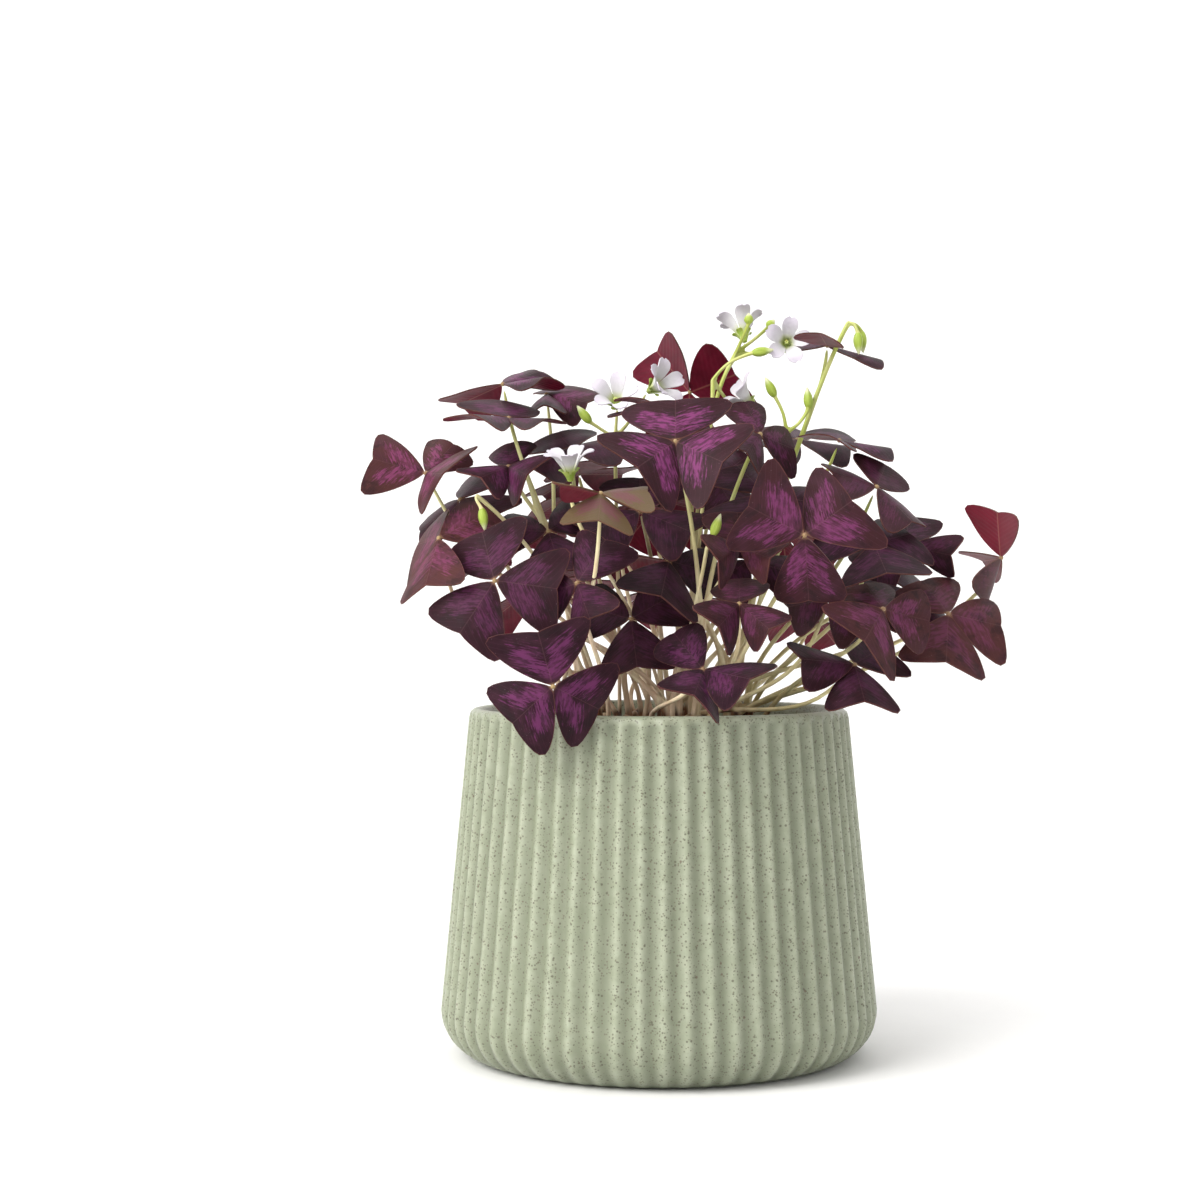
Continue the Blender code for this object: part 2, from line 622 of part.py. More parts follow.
def back_leaf_draws():
    # Places on and inside the dome, turned by the golden angle
    draw = random.Random(BACK_SEED)
    for number in range(1, 900):
        height = draw.uniform(0.05, 0.98)
        turn = number * GOLDEN_ANGLE
        flat = math.sqrt(1.0 - height * height)
        way = Vector((flat * math.cos(turn), flat * math.sin(turn), height))
        scale = draw.uniform(0.72, 1.0)
        hub = DOME_CENTRE + Vector((way.x * DOME_RADII.x, way.y * DOME_RADII.y,
                                    way.z * DOME_RADII.z)) * scale
        lean = draw.uniform(0.2, 0.7)
        spin = draw.uniform(0.0, math.tau)
        droop = math.radians(draw.uniform(8.0, 30.0))
        reach = draw.uniform(26.0, 31.0) * MM
        droops = [droop + math.radians(draw.uniform(-6, 6)) for leaflet in range(3)]
        facing = (way * lean + Vector((0.0, 0.0, 1.0)) * (1.0 - lean)).normalized()
        if back_leaf_allowed(hub):
            yield hub, facing, three_leaflets(facing, spin, [reach] * 3, droops)


def plan_flower_stems(everything):
    # The flower stems, and for each bloom or bud its little stem, its place, its look and its kind
    scapes = []
    pedicels = []
    for stem, thick, foot, under, head, heads in FLOWER_STEMS:
        head = Vector(head) * MM
        radii = tapered(thick * MM, SCAPE_RADIUS_TOP, SCAPE_STEPS + 1)
        scapes.append((plan_scape(stem, radii, foot, Vector(under) * MM, head, everything), radii))
        for place, bow, look, kind in heads:
            tip = Vector(place) * MM
            look = Vector(look).normalized()
            line = [head, (head + tip) / 2 + Vector(bow) * MM, tip + look * PEDICEL_SINK]
            pedicels.append((line, tip, look, kind))
    return scapes, pedicels


def stem_sleeves(stems, scapes, pedicels):
    sleeves = [stem_hull(points, STALK_RADIUS_FOOT + STEM_CLEARANCE) for points in stems]
    sleeves += [stem_hull(points, radii[0] + STEM_CLEARANCE) for points, radii in scapes]
    for line, tip, look, kind in pedicels:
        sleeves.append(stem_hull(line, BUD_RADIUS + STEM_CLEARANCE))
        sleeves.append(stem_hull([tip, tip + look * BUD_LENGTH], BUD_RADIUS + STEM_CLEARANCE))
    return merged_tree(sleeves)


def plan_plant(still, fixed):
    # The leaves and flower stems seen from the front come first, the others keep clear of them
    leaves = plan_front_leaves(fixed)
    hulls = [leaf_hull(hub, tips, facing) for name, hub, tips, facing in leaves]
    stems = []
    for order, (name, hub, tips, facing) in enumerate(leaves):
        others = merged_tree(still + hulls[:order] + hulls[order + 1:])
        points = plan_stalk(name, hub, tips, facing, others, STALK_DRAWS)
        if points is None:
            raise ValueError("no way for the stalk of " + name)
        stems.append(points)
    scapes, pedicels = plan_flower_stems(merged_tree(still + hulls))
    trees = fixed + [merged_tree([hull]) for hull in hulls] + [stem_sleeves(stems, scapes, pedicels)]
    whole = len(leaves) + BACK_LEAVES
    for hub, facing, tips in back_leaf_draws():
        name = "leaf_back_%02d" % (len(leaves) + BACK_LEAVES - whole + 1)
        hull = leaf_hull(hub, tips, facing)
        if len(leaves) == whole or not is_clear(hull[0], hull[1], trees):
            continue
        points = plan_stalk(name, hub, tips, facing, merged_tree(still + hulls), BACK_STALK_DRAWS)
        if points is None:
            continue
        leaves.append((name, hub, tips, facing))
        hulls.append(hull)
        stems.append(points)
        trees.append(merged_tree([hull]))
        trees.append(stem_sleeves([points], [], []))
    return leaves, stems, scapes, pedicels


def tube(name, points, radii, group):
    # A round stem: a curve with a bevel and filled caps, made into a mesh
    curve = bpy.data.curves.new(name, "CURVE")
    curve.dimensions = "3D"
    curve.bevel_depth = 1.0
    curve.bevel_resolution = 0
    curve.use_fill_caps = True
    line = curve.splines.new("POLY")
    line.points.add(len(points) - 1)
    for knot, place, radius in zip(line.points, points, radii):
        knot.co = (place.x, place.y, place.z, 1.0)
        knot.radius = radius
    thing = add_object(name, curve, group)
    graph = bpy.context.evaluated_depsgraph_get()
    mesh = bpy.data.meshes.new_from_object(thing.evaluated_get(graph), depsgraph=graph)
    bpy.data.objects.remove(thing, do_unlink=True)
    body = bmesh.new()
    body.from_mesh(mesh)
    bmesh.ops.remove_doubles(body, verts=body.verts, dist=0.00001)
    bmesh.ops.triangulate(body, faces=body.faces)
    bmesh.ops.recalc_face_normals(body, faces=body.faces)
    body.to_mesh(mesh)
    body.free()
    return mesh


def tapered(foot, top, count):
    return [foot + (top - foot) * i / (count - 1) for i in range(count)]


def bend(start, lift, under, end, steps):
    # Points along a smooth cubic from the foot to the leaf
    points = []
    for step in range(steps + 1):
        t = step / steps
        u = 1.0 - t
        points.append(start * u ** 3 + lift * (3 * u * u * t) + under * (3 * u * t * t) + end * t ** 3)
    return points


def way_blocked(points, widths, tree):
    # Rays along each stretch of a stem, down its middle and round it at the stretch's width
    for start, end, wide in zip(points, points[1:], widths):
        way = end - start
        length = way.length
        way.normalize()
        side = way.orthogonal().normalized()
        other = way.cross(side)
        starts = [start]
        for k in range(8):
            turn = k * math.pi / 4
            starts.append(start + (side * math.cos(turn) + other * math.sin(turn)) * wide)
        for place in starts:
            if tree.ray_cast(place, way, length)[0] is not None:
                return True
    return False


def merged_tree(surfaces):
    points = []
    faces = []
    for some, more in surfaces:
        start = len(points)
        points += some
        faces += [tuple(i + start for i in face) for face in more]
    return BVHTree.FromPolygons(points, faces)


def seat_under(own, hub, down):
    # Where a stalk that comes up along the given way stops, a little under the heart
    heart = own.ray_cast(hub - down * HEART_REACH, down, HEART_REACH + MM)[0]
    if heart is None:
        return None
    return heart - down * STALK_GAP


def stalk_route(name, attempt, hub, axis, own):
    # The knots of one drawn stalk: a foot among the bulbs, a bend, and an end under the leaf
    draw = random.Random("%s %d" % (name, attempt))
    loose = 1.0 + 2.0 * attempt / STALK_DRAWS
    rise = max(hub.z - SOIL_TOP, 48 * MM)
    spread = STALK_SPREAD * math.sqrt(draw.random())
    turn = math.atan2(hub.y, hub.x) + draw.gauss(0.0, 0.7)
    foot = Vector((spread * math.cos(turn), spread * math.sin(turn), SOIL_TOP - ROOT_DEPTH))
    blend = draw.uniform(0.1, 1.0)
    down = axis * blend + Vector((0.0, 0.0, 1.0)) * (1.0 - blend)
    down += Vector((draw.uniform(-1, 1), draw.uniform(-1, 1), draw.uniform(-1, 1))) * (0.25 * loose)
    down.normalize()
    end = seat_under(own, hub, down)
    if end is None:
        return None
    under = end - down * draw.uniform(8.0, 50.0) * MM
    under += Vector((draw.uniform(-10, 10), draw.uniform(-10, 10), 0.0)) * (MM * loose)
    under.z -= rise * draw.uniform(-0.1, 0.3)
    lift = foot + Vector((draw.uniform(-16, 16) * MM, draw.uniform(-16, 16) * MM,
                          rise * draw.uniform(0.3, 0.8)))
    return bend(foot, lift, under, end, STALK_STEPS)


def plan_stalk(name, hub, tips, facing, others, attempts):
    # The first drawn stalk that keeps clear of every leaf, of the blooms and of the pot
    own = merged_tree([leaf_surface(hub, tips, facing, LEAF_THICKNESS + 0.2 * MM)])
    axis = leaf_axis(tips, facing)
    radii = tapered(STALK_RADIUS_FOOT, STALK_RADIUS_TOP, STALK_STEPS + 1)
    widths = [radius + STEM_CLEARANCE for radius in radii]
    own_widths = widths[:STALK_STEPS - 1] + [STALK_RADIUS_TOP]
    for attempt in range(attempts):
        points = stalk_route(name, attempt, hub, axis, own)
        if points is None or min(point.z for point in points[1:]) < SOIL_TOP + 4 * MM:
            continue
        if not way_blocked(points, widths, others) and not way_blocked(points, own_widths, own):
            return points
    return None


def scape_route(name, attempt, foot, under, head):
    draw = random.Random("%s %d" % (name, attempt))
    loose = min(attempt / 100, 14.0) * MM
    start = Vector((foot[0] * MM, foot[1] * MM, SOIL_TOP - ROOT_DEPTH))
    start += Vector((draw.uniform(-1, 1), draw.uniform(-1, 1), 0.0)) * loose
    lift = start + Vector((0.0, 0.0, (head.z - start.z) * draw.uniform(0.3, 0.6)))
    near = under + Vector((draw.uniform(-1, 1), draw.uniform(-1, 1), draw.uniform(-1, 1))) * loose
    return bend(start, lift, near, head, SCAPE_STEPS)


def plan_scape(name, radii, foot, under, head, tree):
    widths = [radius + STEM_CLEARANCE for radius in radii]
    for attempt in range(SCAPE_DRAWS):
        points = scape_route(name, attempt, foot, under, head)
        if not way_blocked(points, widths, tree):
            return points
    raise ValueError("no way for the flower stem " + name)


def bulb_mesh(name, place, radius, height, turn):
    # A little pointed bulb
    mesh = bpy.data.meshes.new(name)
    body = bmesh.new()
    bmesh.ops.create_cone(body, cap_ends=True, segments=6, radius1=radius, radius2=radius * 0.25,
                          depth=height)
    ring = [e for e in body.edges if abs(e.verts[0].co.z - e.verts[1].co.z) > height * 0.5]
    bmesh.ops.subdivide_edges(body, edges=ring, cuts=1)
    for vertex in body.verts:
        if abs(vertex.co.z) < height * 0.2:
            vertex.co.x *= 1.35
            vertex.co.y *= 1.35
    bmesh.ops.rotate(body, verts=body.verts, cent=(0, 0, 0), matrix=Matrix.Rotation(turn, 3, "Z"))
    bmesh.ops.translate(body, verts=body.verts, vec=place)
    bmesh.ops.triangulate(body, faces=body.faces)
    bmesh.ops.recalc_face_normals(body, faces=body.faces)
    body.to_mesh(mesh)
    body.free()
    return mesh


def bud_mesh(name, place, way, radius, length):
    # A pointed bud in its calyx, fat below the middle
    mesh = bpy.data.meshes.new(name)
    body = bmesh.new()
    rings = []
    for share, width in BUD_STATIONS:
        ring = []
        for k in range(BUD_SIDES):
            turn = k * math.tau / BUD_SIDES
            ring.append(body.verts.new((radius * width * math.cos(turn), radius * width * math.sin(turn),
                                        length * share)))
        rings.append(ring)
    for lower, upper in zip(rings, rings[1:]):
        for k in range(BUD_SIDES):
            follow = (k + 1) % BUD_SIDES
            body.faces.new((lower[k], lower[follow], upper[follow], upper[k]))
    body.faces.new(list(reversed(rings[0])))
    body.faces.new(rings[-1])
    bmesh.ops.transform(body, matrix=frame_along(place, way), verts=body.verts)
    bmesh.ops.triangulate(body, faces=body.faces)
    bmesh.ops.recalc_face_normals(body, faces=body.faces)
    body.to_mesh(mesh)
    body.free()
    return mesh


def petal_mesh(name, frame, number):
    turn = Matrix.Rotation(number * math.tau / 5 + PETAL_TURN, 4, "Z")
    middle = []
    for out, up, half in PETAL_STATIONS:
        middle.append((Vector((out, 0.0, up)) * MM, half * MM))
    points = []
    for side in (0.5, -0.5):
        for index, (place, half) in enumerate(middle):
            before = middle[max(index - 1, 0)][0]
            after = middle[min(index + 1, len(middle) - 1)][0]
            way = (after - before).normalized()
            outward = Vector((way.z, 0.0, -way.x)) * (side * PETAL_THICKNESS)
            lift = Vector((-way.z, 0.0, way.x)) * (PETAL_CUP * half)
            points.append(place + outward + Vector((0.0, half, 0.0)) + lift)
            points.append(place + outward + Vector((0.0, -half, 0.0)) + lift)
    count = 2 * len(middle)
    faces = []
    for index in range(len(middle) - 1):
        a, b, c, d = 2 * index, 2 * index + 1, 2 * index + 3, 2 * index + 2
        faces += [(a, b, c), (a, c, d)]
        faces += [(c + count, b + count, a + count), (d + count, c + count, a + count)]
        faces += [(a, d, d + count), (a, d + count, a + count)]
        faces += [(b, b + count, c + count), (b, c + count, c)]
    last = count - 2
    faces += [(0, count, 1 + count), (0, 1 + count, 1)]
    faces += [(last, last + 1, last + 1 + count), (last, last + 1 + count, last + count)]
    placed = [frame @ (turn @ p) for p in points]
    return mesh_of(name, placed, faces)


def frame_along(place, way):
    return Matrix.Translation(place) @ way.to_track_quat("Z", "Y").to_matrix().to_4x4()


def make_bloom(name, place, way, group):
    frame = frame_along(place + way.normalized() * MM, way)
    throat = bpy.data.meshes.new(name)
    body = bmesh.new()
    bmesh.ops.create_cone(body, cap_ends=True, segments=5, radius1=0.9 * MM, radius2=1.5 * MM,
                          depth=3.0 * MM, matrix=frame @ Matrix.Translation((0.0, 0.0, 1.8 * MM)))
    body.to_mesh(throat)
    body.free()
    bloom = add_object(name, throat, group)
    join_by_union(bloom, [petal_mesh("petal_%d" % k, frame, k) for k in range(5)])
    clean(bloom)
    bloom.data.materials.append(colour(name, (0.85, 0.82, 0.86), 0.6))
    return bloom


def make_blooms(group):
    blooms = []
    for stem, thick, foot, under, head, heads in FLOWER_STEMS:
        for place, bow, look, kind in heads:
            if kind == "bloom":
                name = "bloom_%s_%d" % (stem, len(blooms) + 1)
                blooms.append(make_bloom(name, Vector(place) * MM, Vector(look), group))
    return blooms


def surface_of(thing):
    return [v.co.copy() for v in thing.data.vertices], [tuple(p.vertices) for p in thing.data.polygons]


def make_stalks(stems, scapes, pedicels, group):
    # Root clump, bulbs, leaf stalks, flower stems, their little stems and the buds: one body
    pieces = []
    for points in stems:
        radii = tapered(STALK_RADIUS_FOOT, STALK_RADIUS_TOP, len(points))
        pieces.append(tube("stalk", points, radii, group))
    for points, radii in scapes:
        pieces.append(tube("scape", points, radii, group))
    for line, tip, look, kind in pedicels:
        pieces.append(tube("pedicel", line, [PEDICEL_RADIUS] * len(line), group))
        if kind == "bud":
            pieces.append(bud_mesh("bud", tip, look, BUD_RADIUS, BUD_LENGTH))
        if kind == "small bud":
            pieces.append(bud_mesh("bud", tip, look, BUD_RADIUS, SMALL_BUD_LENGTH))
    middle = SOIL_TOP - PIT_DEPTH + CLUMP_LIFT + CLUMP_HEIGHT / 2
    clump = disc_mesh("stalks", PIT_RADIUS - 2 * FIT_GAP, CLUMP_HEIGHT, middle)
    stalks = add_object("stalks", clump, group)
    draw = random.Random(BULB_SEED)
    for number in range(BULB_COUNT):
        radius = BULB_SPREAD * math.sqrt((number + 0.5) / BULB_COUNT)
        turn = number * GOLDEN_ANGLE
        height = SOIL_TOP + draw.uniform(-1.5, 1.0) * MM
        place = Vector((radius * math.cos(turn), radius * math.sin(turn), height))
        pieces.append(bulb_mesh("bulb", place, BULB_RADIUS * draw.uniform(0.8, 1.1), BULB_HEIGHT, turn))
    join_by_union(stalks, pieces)
    clean(stalks)
    stalks.data.materials.append(colour("stalks", (0.5, 0.45, 0.25), 0.6))


def main():
    empty_scene()
    parts = new_collection("purple_shamrock")
    cutters = new_collection("cutters")
    pot = make_pot(parts)
    pot.data.materials.append(colour("pot", (0.42, 0.47, 0.36), 0.5))
    soil = make_soil(parts, cutters)
    soil.data.materials.append(colour("soil", (0.06, 0.04, 0.03), 0.95))

    # Blooms stand first, then the leaves keep clear of them and of the pot
    still = [surface_of(thing) for thing in [pot] + make_blooms(parts)]
    fixed = [merged_tree([surface]) for surface in [surface_of(soil)] + still]
    leaves, stems, scapes, pedicels = plan_plant(still, fixed)
    for name, hub, tips, facing in leaves:
        make_leaf(name, hub, tips, facing, parts)
    make_stalks(stems, scapes, pedicels, parts)


main()
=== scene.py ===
import math
import random

import bmesh
import bpy
import numpy as np
from mathutils import Matrix, Vector


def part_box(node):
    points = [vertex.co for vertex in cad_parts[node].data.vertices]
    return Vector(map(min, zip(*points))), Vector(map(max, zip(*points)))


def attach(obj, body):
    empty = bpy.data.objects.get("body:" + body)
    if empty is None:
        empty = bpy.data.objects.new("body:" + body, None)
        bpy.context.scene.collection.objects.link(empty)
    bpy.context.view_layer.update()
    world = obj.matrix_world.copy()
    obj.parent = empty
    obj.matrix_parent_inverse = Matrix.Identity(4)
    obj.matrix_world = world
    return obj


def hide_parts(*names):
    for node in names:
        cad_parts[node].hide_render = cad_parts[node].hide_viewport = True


MM = 0.001
GOLDEN_ANGLE = math.pi * (3.0 - math.sqrt(5.0))
NEAR = -1.0
FAR = 1.0

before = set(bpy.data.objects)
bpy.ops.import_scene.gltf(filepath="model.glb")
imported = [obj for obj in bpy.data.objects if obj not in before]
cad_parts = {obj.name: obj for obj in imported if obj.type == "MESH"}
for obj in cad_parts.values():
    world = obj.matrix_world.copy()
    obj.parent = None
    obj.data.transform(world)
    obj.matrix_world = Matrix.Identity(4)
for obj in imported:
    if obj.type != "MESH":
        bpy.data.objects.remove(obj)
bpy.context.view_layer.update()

# Pot, in metres
POT_HEIGHT = 143.0 * MM
POT_WIDEST_RADIUS = 90.0 * MM
POT_FOOT_ROUND = 19.5 * MM
POT_LEAN = 0.096
POT_WALL = 6.5 * MM
POT_FLOOR = 9.0 * MM
POT_RIBS = 60
POT_COLUMNS = 10 * POT_RIBS
POT_ROWS = 22
RIB_DEPTH = 1.9 * MM
LIP_ROUND = 4.0 * MM
SOIL_TOP = 134.5 * MM
# Faces no deeper than this under the soil's top are its surface
SURFACE_DEPTH = 4 * MM
# The soil dips a little where the clump of bulbs stands
CLUMP_RADIUS = 51.0 * MM
CLUMP_DIP = 3.4 * MM
CRUMBS = 520
DRY_SCALES = 90
# What rounding takes off the radius of a stalk
STALK_FILL = 0.24 * MM

# Glaze specks: cells a metre, size in a cell, share of the cells that hold one, colour
GLAZE_SPECKS = [
    (540.0, 0.24, 0.70, (0.072, 0.062, 0.038)),
    (860.0, 0.31, 0.85, (0.110, 0.100, 0.064)),
    (330.0, 0.16, 0.30, (0.095, 0.055, 0.035)),
]

# Leaves
LEAF_THICKNESS = 0.60 * MM
# Where a lobe tip lies on a leaflet, as shares of the leaflet's reach
LOBE_ACROSS = 0.585
LOBE_OUT = 0.95
LEAFLET_HALF_ANGLE = math.atan2(LOBE_ACROSS, LOBE_OUT)
# How far a leaflet rises along its midrib, and how fast it falls off to both sides
LEAF_FOLD = 0.16
FOLD_SPREAD = 1.62
VEIN_SLOPE = 0.62
BLADE_HALF = 0.62
SIDE_VEINS = 74.0
HEART_RADIUS = 0.95 * MM
# Width and length of the leaflet that its own map of places covers
BLADE_MAP = (1.4, 1.1)
HIDDEN_DROOP = math.radians(22.0)
LEAF_ROWS = 18
LEAF_COLUMNS = 16
RIM_STEPS = 120

# Leaves seen from the front, in mm: name, reach from the hub to a lobe tip, the way the upper
# side faces, and the lobe tips of each leaflet as (across, up, nearer or farther than the hub)
SEEN_LEAVES = [
    ("leaf_left_outer", 27, (-0.2, -0.5, 0.8), [
        ((-20, 16, FAR), (-26, -7, NEAR)), ((1, 15, FAR), (18, 6, FAR)), ((21, 9, NEAR), (1, -16, NEAR))]),
    ("leaf_left_top", 28, (-0.2, 0.3, 1.0), [
        ((-26, -8, NEAR), (-11, -14, FAR)), ((6, 7, FAR), (24, 0, FAR)), ((12, -4, NEAR), (26, -2, NEAR))]),
    ("leaf_left_roof", 27, (0.0, -0.35, 0.9), [
        ((-21, 7, FAR), (10, 5, FAR)), ((-26, -1, NEAR), (-4, -6, NEAR)), ((9, -6, NEAR), (23, -1, FAR))]),
    ("leaf_left_middle", 25, (0.0, -0.6, 0.8), [
        ((-8, 6, FAR), (10, 10, FAR)), ((-20, -3, NEAR), (-4, -14, NEAR)), ((18, 3, NEAR), (4, -16, NEAR))]),
    ("leaf_left_low", 30, (-0.6, -0.6, 0.5), [
        ((12, 17, FAR), (29, 0, FAR)), ((-14, -26, NEAR), (10, -18, NEAR)), ((0, 11, FAR), (-14, -19, FAR))]),
    ("leaf_front_left", 31, (-0.3, -0.8, 0.6), [
        ((-26, -13, FAR), (0, -31, FAR))]),
    ("leaf_front_shade", 26, (0.0, -0.9, 0.5), [
        ((-20, 5, FAR), (-14, -18, FAR)), ((16, -9, NEAR), (-1, -23, NEAR))]),
    ("leaf_over_rim_left", 28, (0.0, -1.0, 0.3), [
        ((-24, 18, FAR), (12, 26, FAR)), ((-25, -3, FAR), (-5, -26, FAR)), ((25, 6, FAR), (9, -23, FAR))]),
    ("leaf_front_pale", 24, (0.0, -0.4, 0.9), [
        ((-14, -12, NEAR), (11, -16, NEAR)), ((-18, 3, NEAR), (-15, -2, FAR)),
        ((20, -7, NEAR), (17, 3, FAR))]),
    ("leaf_front_centre", 31, (0.0, -0.6, 0.8), [
        ((-30, 0, NEAR), (-4, -27, NEAR)), ((30, 4, NEAR), (10, -26, NEAR)),
        ((-19, 14, FAR), (21, 17, FAR))]),
    ("leaf_front_right", 31, (0.1, -0.9, 0.3), [
        ((-14, 28, FAR), (-29, -3, FAR)), ((8, 26, FAR), (31, -2, FAR)), ((-9, -24, FAR), (16, -24, FAR))]),
    ("leaf_right_low", 28, (0.3, -0.8, 0.5), [
        ((-24, -1, NEAR), (2, -27, NEAR)), ((19, 6, FAR), (17, -17, FAR)), ((-15, 5, FAR), (6, 8, FAR))]),
    ("leaf_over_rim_centre", 28, (0.0, -0.9, 0.4), [
        ((-18, 6, FAR), (-1, 17, FAR)), ((-17, -6, NEAR), (4, -19, NEAR)), ((28, 1, FAR), (9, -14, NEAR))]),
    ("leaf_low_centre", 24, (0.0, -0.7, 0.6), [
        ((-18, -2, NEAR), (-5, -19, NEAR)), ((6, -18, NEAR), (19, -6, NEAR)), ((-9, 6, FAR), (12, 8, FAR))]),
    ("leaf_middle_centre", 24, (0.0, -0.7, 0.6), [
        ((-16, 3, NEAR), (-9, -16, NEAR)), ((18, 1, NEAR), (9, -14, NEAR))]),
    ("leaf_right_brown", 30, (0.4, -0.8, 0.5), [
        ((-20, -18, NEAR), (12, -26, NEAR)), ((-20, 7, FAR), (6, 14, FAR))]),
    ("leaf_right_outer", 28, (0.8, -0.4, 0.4), [
        ((-15, -12, NEAR), (-8, -26, FAR)), ((-12, 22, FAR), (2, 16, NEAR)), ((-14, 2, FAR), (1, -10, FAR))]),
    ("leaf_right_upper", 26, (0.4, -0.6, 0.7), [
        ((-6, 14, FAR), (15, 1, FAR)), ((20, -16, FAR), (4, -19, NEAR)), ((-21, 10, FAR), (-19, -5, NEAR))]),
    ("leaf_back_raised", 31, (0.0, 0.8, 0.6), [
        ((-10, 23, NEAR), (-24, 10, FAR)), ((8, 17, NEAR), (29, -9, NEAR))]),
    ("leaf_upper_centre", 24, (0.0, -0.6, 0.8), [
        ((-16, -5, NEAR), (-2, -17, NEAR)), ((12, 3, FAR), (14, -17, FAR)), ((-13, 11, FAR), (2, 13, FAR))]),
    ("leaf_top_right", 26, (0.1, -0.1, 1.0), [
        ((23, -9, FAR), (21, -11, NEAR)), ((-15, 1, NEAR), (3, -3, NEAR)), ((-15, 0, FAR), (4, 2, FAR))]),
    ("leaf_left_back", 27, (0.1, -0.4, 1.0), [
        ((13, -15, NEAR), (26, -1, NEAR)), ((-8, -12, NEAR), (8, -10, NEAR)), ((22, 1, FAR), (-4, 3, FAR))]),
    ("leaf_right_roof", 26, (0.1, -0.3, 1.0), [
        ((-18, 0, NEAR), (3, -6, NEAR)), ((-13, 4, FAR), (8, 2, FAR)), ((22, -5, FAR), (20, -9, NEAR))]),
    ("leaf_right_crimson", 26, (0.4, -0.3, 0.8), [
        ((21, 3, NEAR), (17, -13, NEAR))]),
    ("leaf_centre_shade", 31, (0.0, -0.5, 0.8), [
        ((-30, 4, FAR), (-11, -6, FAR)), ((18, 4, FAR), (17, -15, FAR))]),
    ("leaf_right_shade", 28, (0.3, -0.6, 0.7), [
        ((-13, -18, NEAR), (20, -13, NEAR))]),
    ("leaf_low_right_shade", 28, (0.2, -0.7, 0.6), [
        ((-12, -17, NEAR), (15, -18, NEAR)), ((-26, 8, FAR), (-21, -9, NEAR))]),
    ("leaf_inner_right", 24, (0.1, -0.6, 0.7), [
        ((-20, 2, FAR), (-14, -14, NEAR))]),
    ("leaf_upper_shade", 24, (0.0, -0.2, 1.0), [
        ((-19, 2, NEAR), (2, -5, NEAR))]),
]

# Darker leaves in the shade between them, their colour darkened as painted shade: name, the way the upper
# side faces, turn and reach in mm, droop
SHADE_LEAVES = [
    ("leaf_shade_left", (-0.1, -0.6, 0.7), 20, 28, 15),
    ("leaf_shade_middle", (0.0, -0.6, 0.7), 60, 29, 12),
    ("leaf_shade_low", (-0.1, -0.7, 0.5), 10, 27, 15),
    ("leaf_shade_right", (0.1, -0.6, 0.7), 80, 28, 15),
    ("leaf_shade_upper_left", (-0.2, -0.4, 0.9), 100, 28, 10),
    ("leaf_shade_outer_left", (-0.5, -0.5, 0.7), 70, 28, 20),
    ("leaf_shade_outer_right", (0.5, -0.5, 0.7), 30, 27, 18),
    ("leaf_shade_upper_right", (0.1, -0.3, 0.9), 60, 28, 10),
    ("leaf_shade_inner", (0.0, -0.6, 0.7), 20, 28, 12),
    ("leaf_shade_core", (0.1, -0.6, 0.7), 70, 27, 15),
]

# The dome on which the back leaves are drawn
DOME_CENTRE = Vector((8.0, 5.0, 165.0)) * MM
DOME_RADII = Vector((118.0, 100.0, 104.0)) * MM
BACK_LEAVES = 12
BACK_SEED = 7

# Age of a leaf: 0 is young and dark purple, 1 is old and red-brown. Leaves not named are drawn.
LEAF_AGE = {
    "leaf_left_outer": 0.75, "leaf_left_low": 0.85, "leaf_right_brown": 0.75, "leaf_right_low": 0.55,
    "leaf_right_outer": 0.8, "leaf_front_pale": 1.0, "leaf_middle_centre": 0.6, "leaf_right_shade": 0.6,
    "leaf_front_centre": 0.2, "leaf_front_right": 0.3, "leaf_over_rim_left": 0.05,
    "leaf_over_rim_centre": 0.0, "leaf_front_left": 0.1, "leaf_front_shade": 0.0,
}

# How strongly the purple flame shows on a leaf: 0 not at all, 1 fully. Leaves not named are drawn.
LEAF_FLAME = {
    "leaf_front_centre": 0.95, "leaf_left_outer": 0.85, "leaf_front_right": 0.65, "leaf_left_low": 0.6,
    "leaf_right_low": 0.55, "leaf_over_rim_left": 0.55, "leaf_over_rim_centre": 0.4, "leaf_left_top": 0.6,
    "leaf_front_left": 0.3, "leaf_front_shade": 0.15, "leaf_right_outer": 0.2, "leaf_right_brown": 0.35,
}

# Flower heads, in mm: stem, and for each bloom or bud its place, the way it looks, its kind
FLOWER_HEADS = [
    ("high", [
        ((36, 0, 293.5), (-0.2, 0.5, 1.0), "bloom"), ((53, 6, 294), (0.0, -1.0, 0.05), "bloom"),
        ((45, -3, 300), (0.6, 0.0, 0.7), "small bud"), ((37, -8, 301), (0.0, 0.0, 1.0), "small bud")]),
    ("middle", [
        ((41, -8, 265), (-0.75, -0.15, 0.65), "bloom"), ((38, -9, 289), (1.0, 0.0, 0.15), "bud")]),
    ("right", [
        ((48, -6, 271), (-0.45, 0.0, 0.9), "bud"), ((62, -6, 266), (-0.1, 0.0, 1.0), "bud")]),
    ("left", [
        ((-17, 8, 267), (-0.1, -0.8, 0.5), "bloom"), ((-5, 8, 274), (0.6, -0.6, 0.35), "bloom"),
        ((-28, 2, 261), (-0.6, 0.0, 0.75), "bud")]),
    ("low_left", [
        ((-35.7, -50, 233), (-0.1, -0.3, 1.0), "bloom")]),
    ("arching", [
        ((-71, -46, 224), (0.15, 0.0, -1.0), "bud")]),
    ("front", [
        ((19, -70, 212), (0.35, 0.0, 0.95), "bud")]),
    ("hanging", [
        ((82, -6, 298), (0.05, 0.0, -1.0), "bud"), ((84, -2, 299), (0.1, 0.2, -1.0), "bud")]),
]

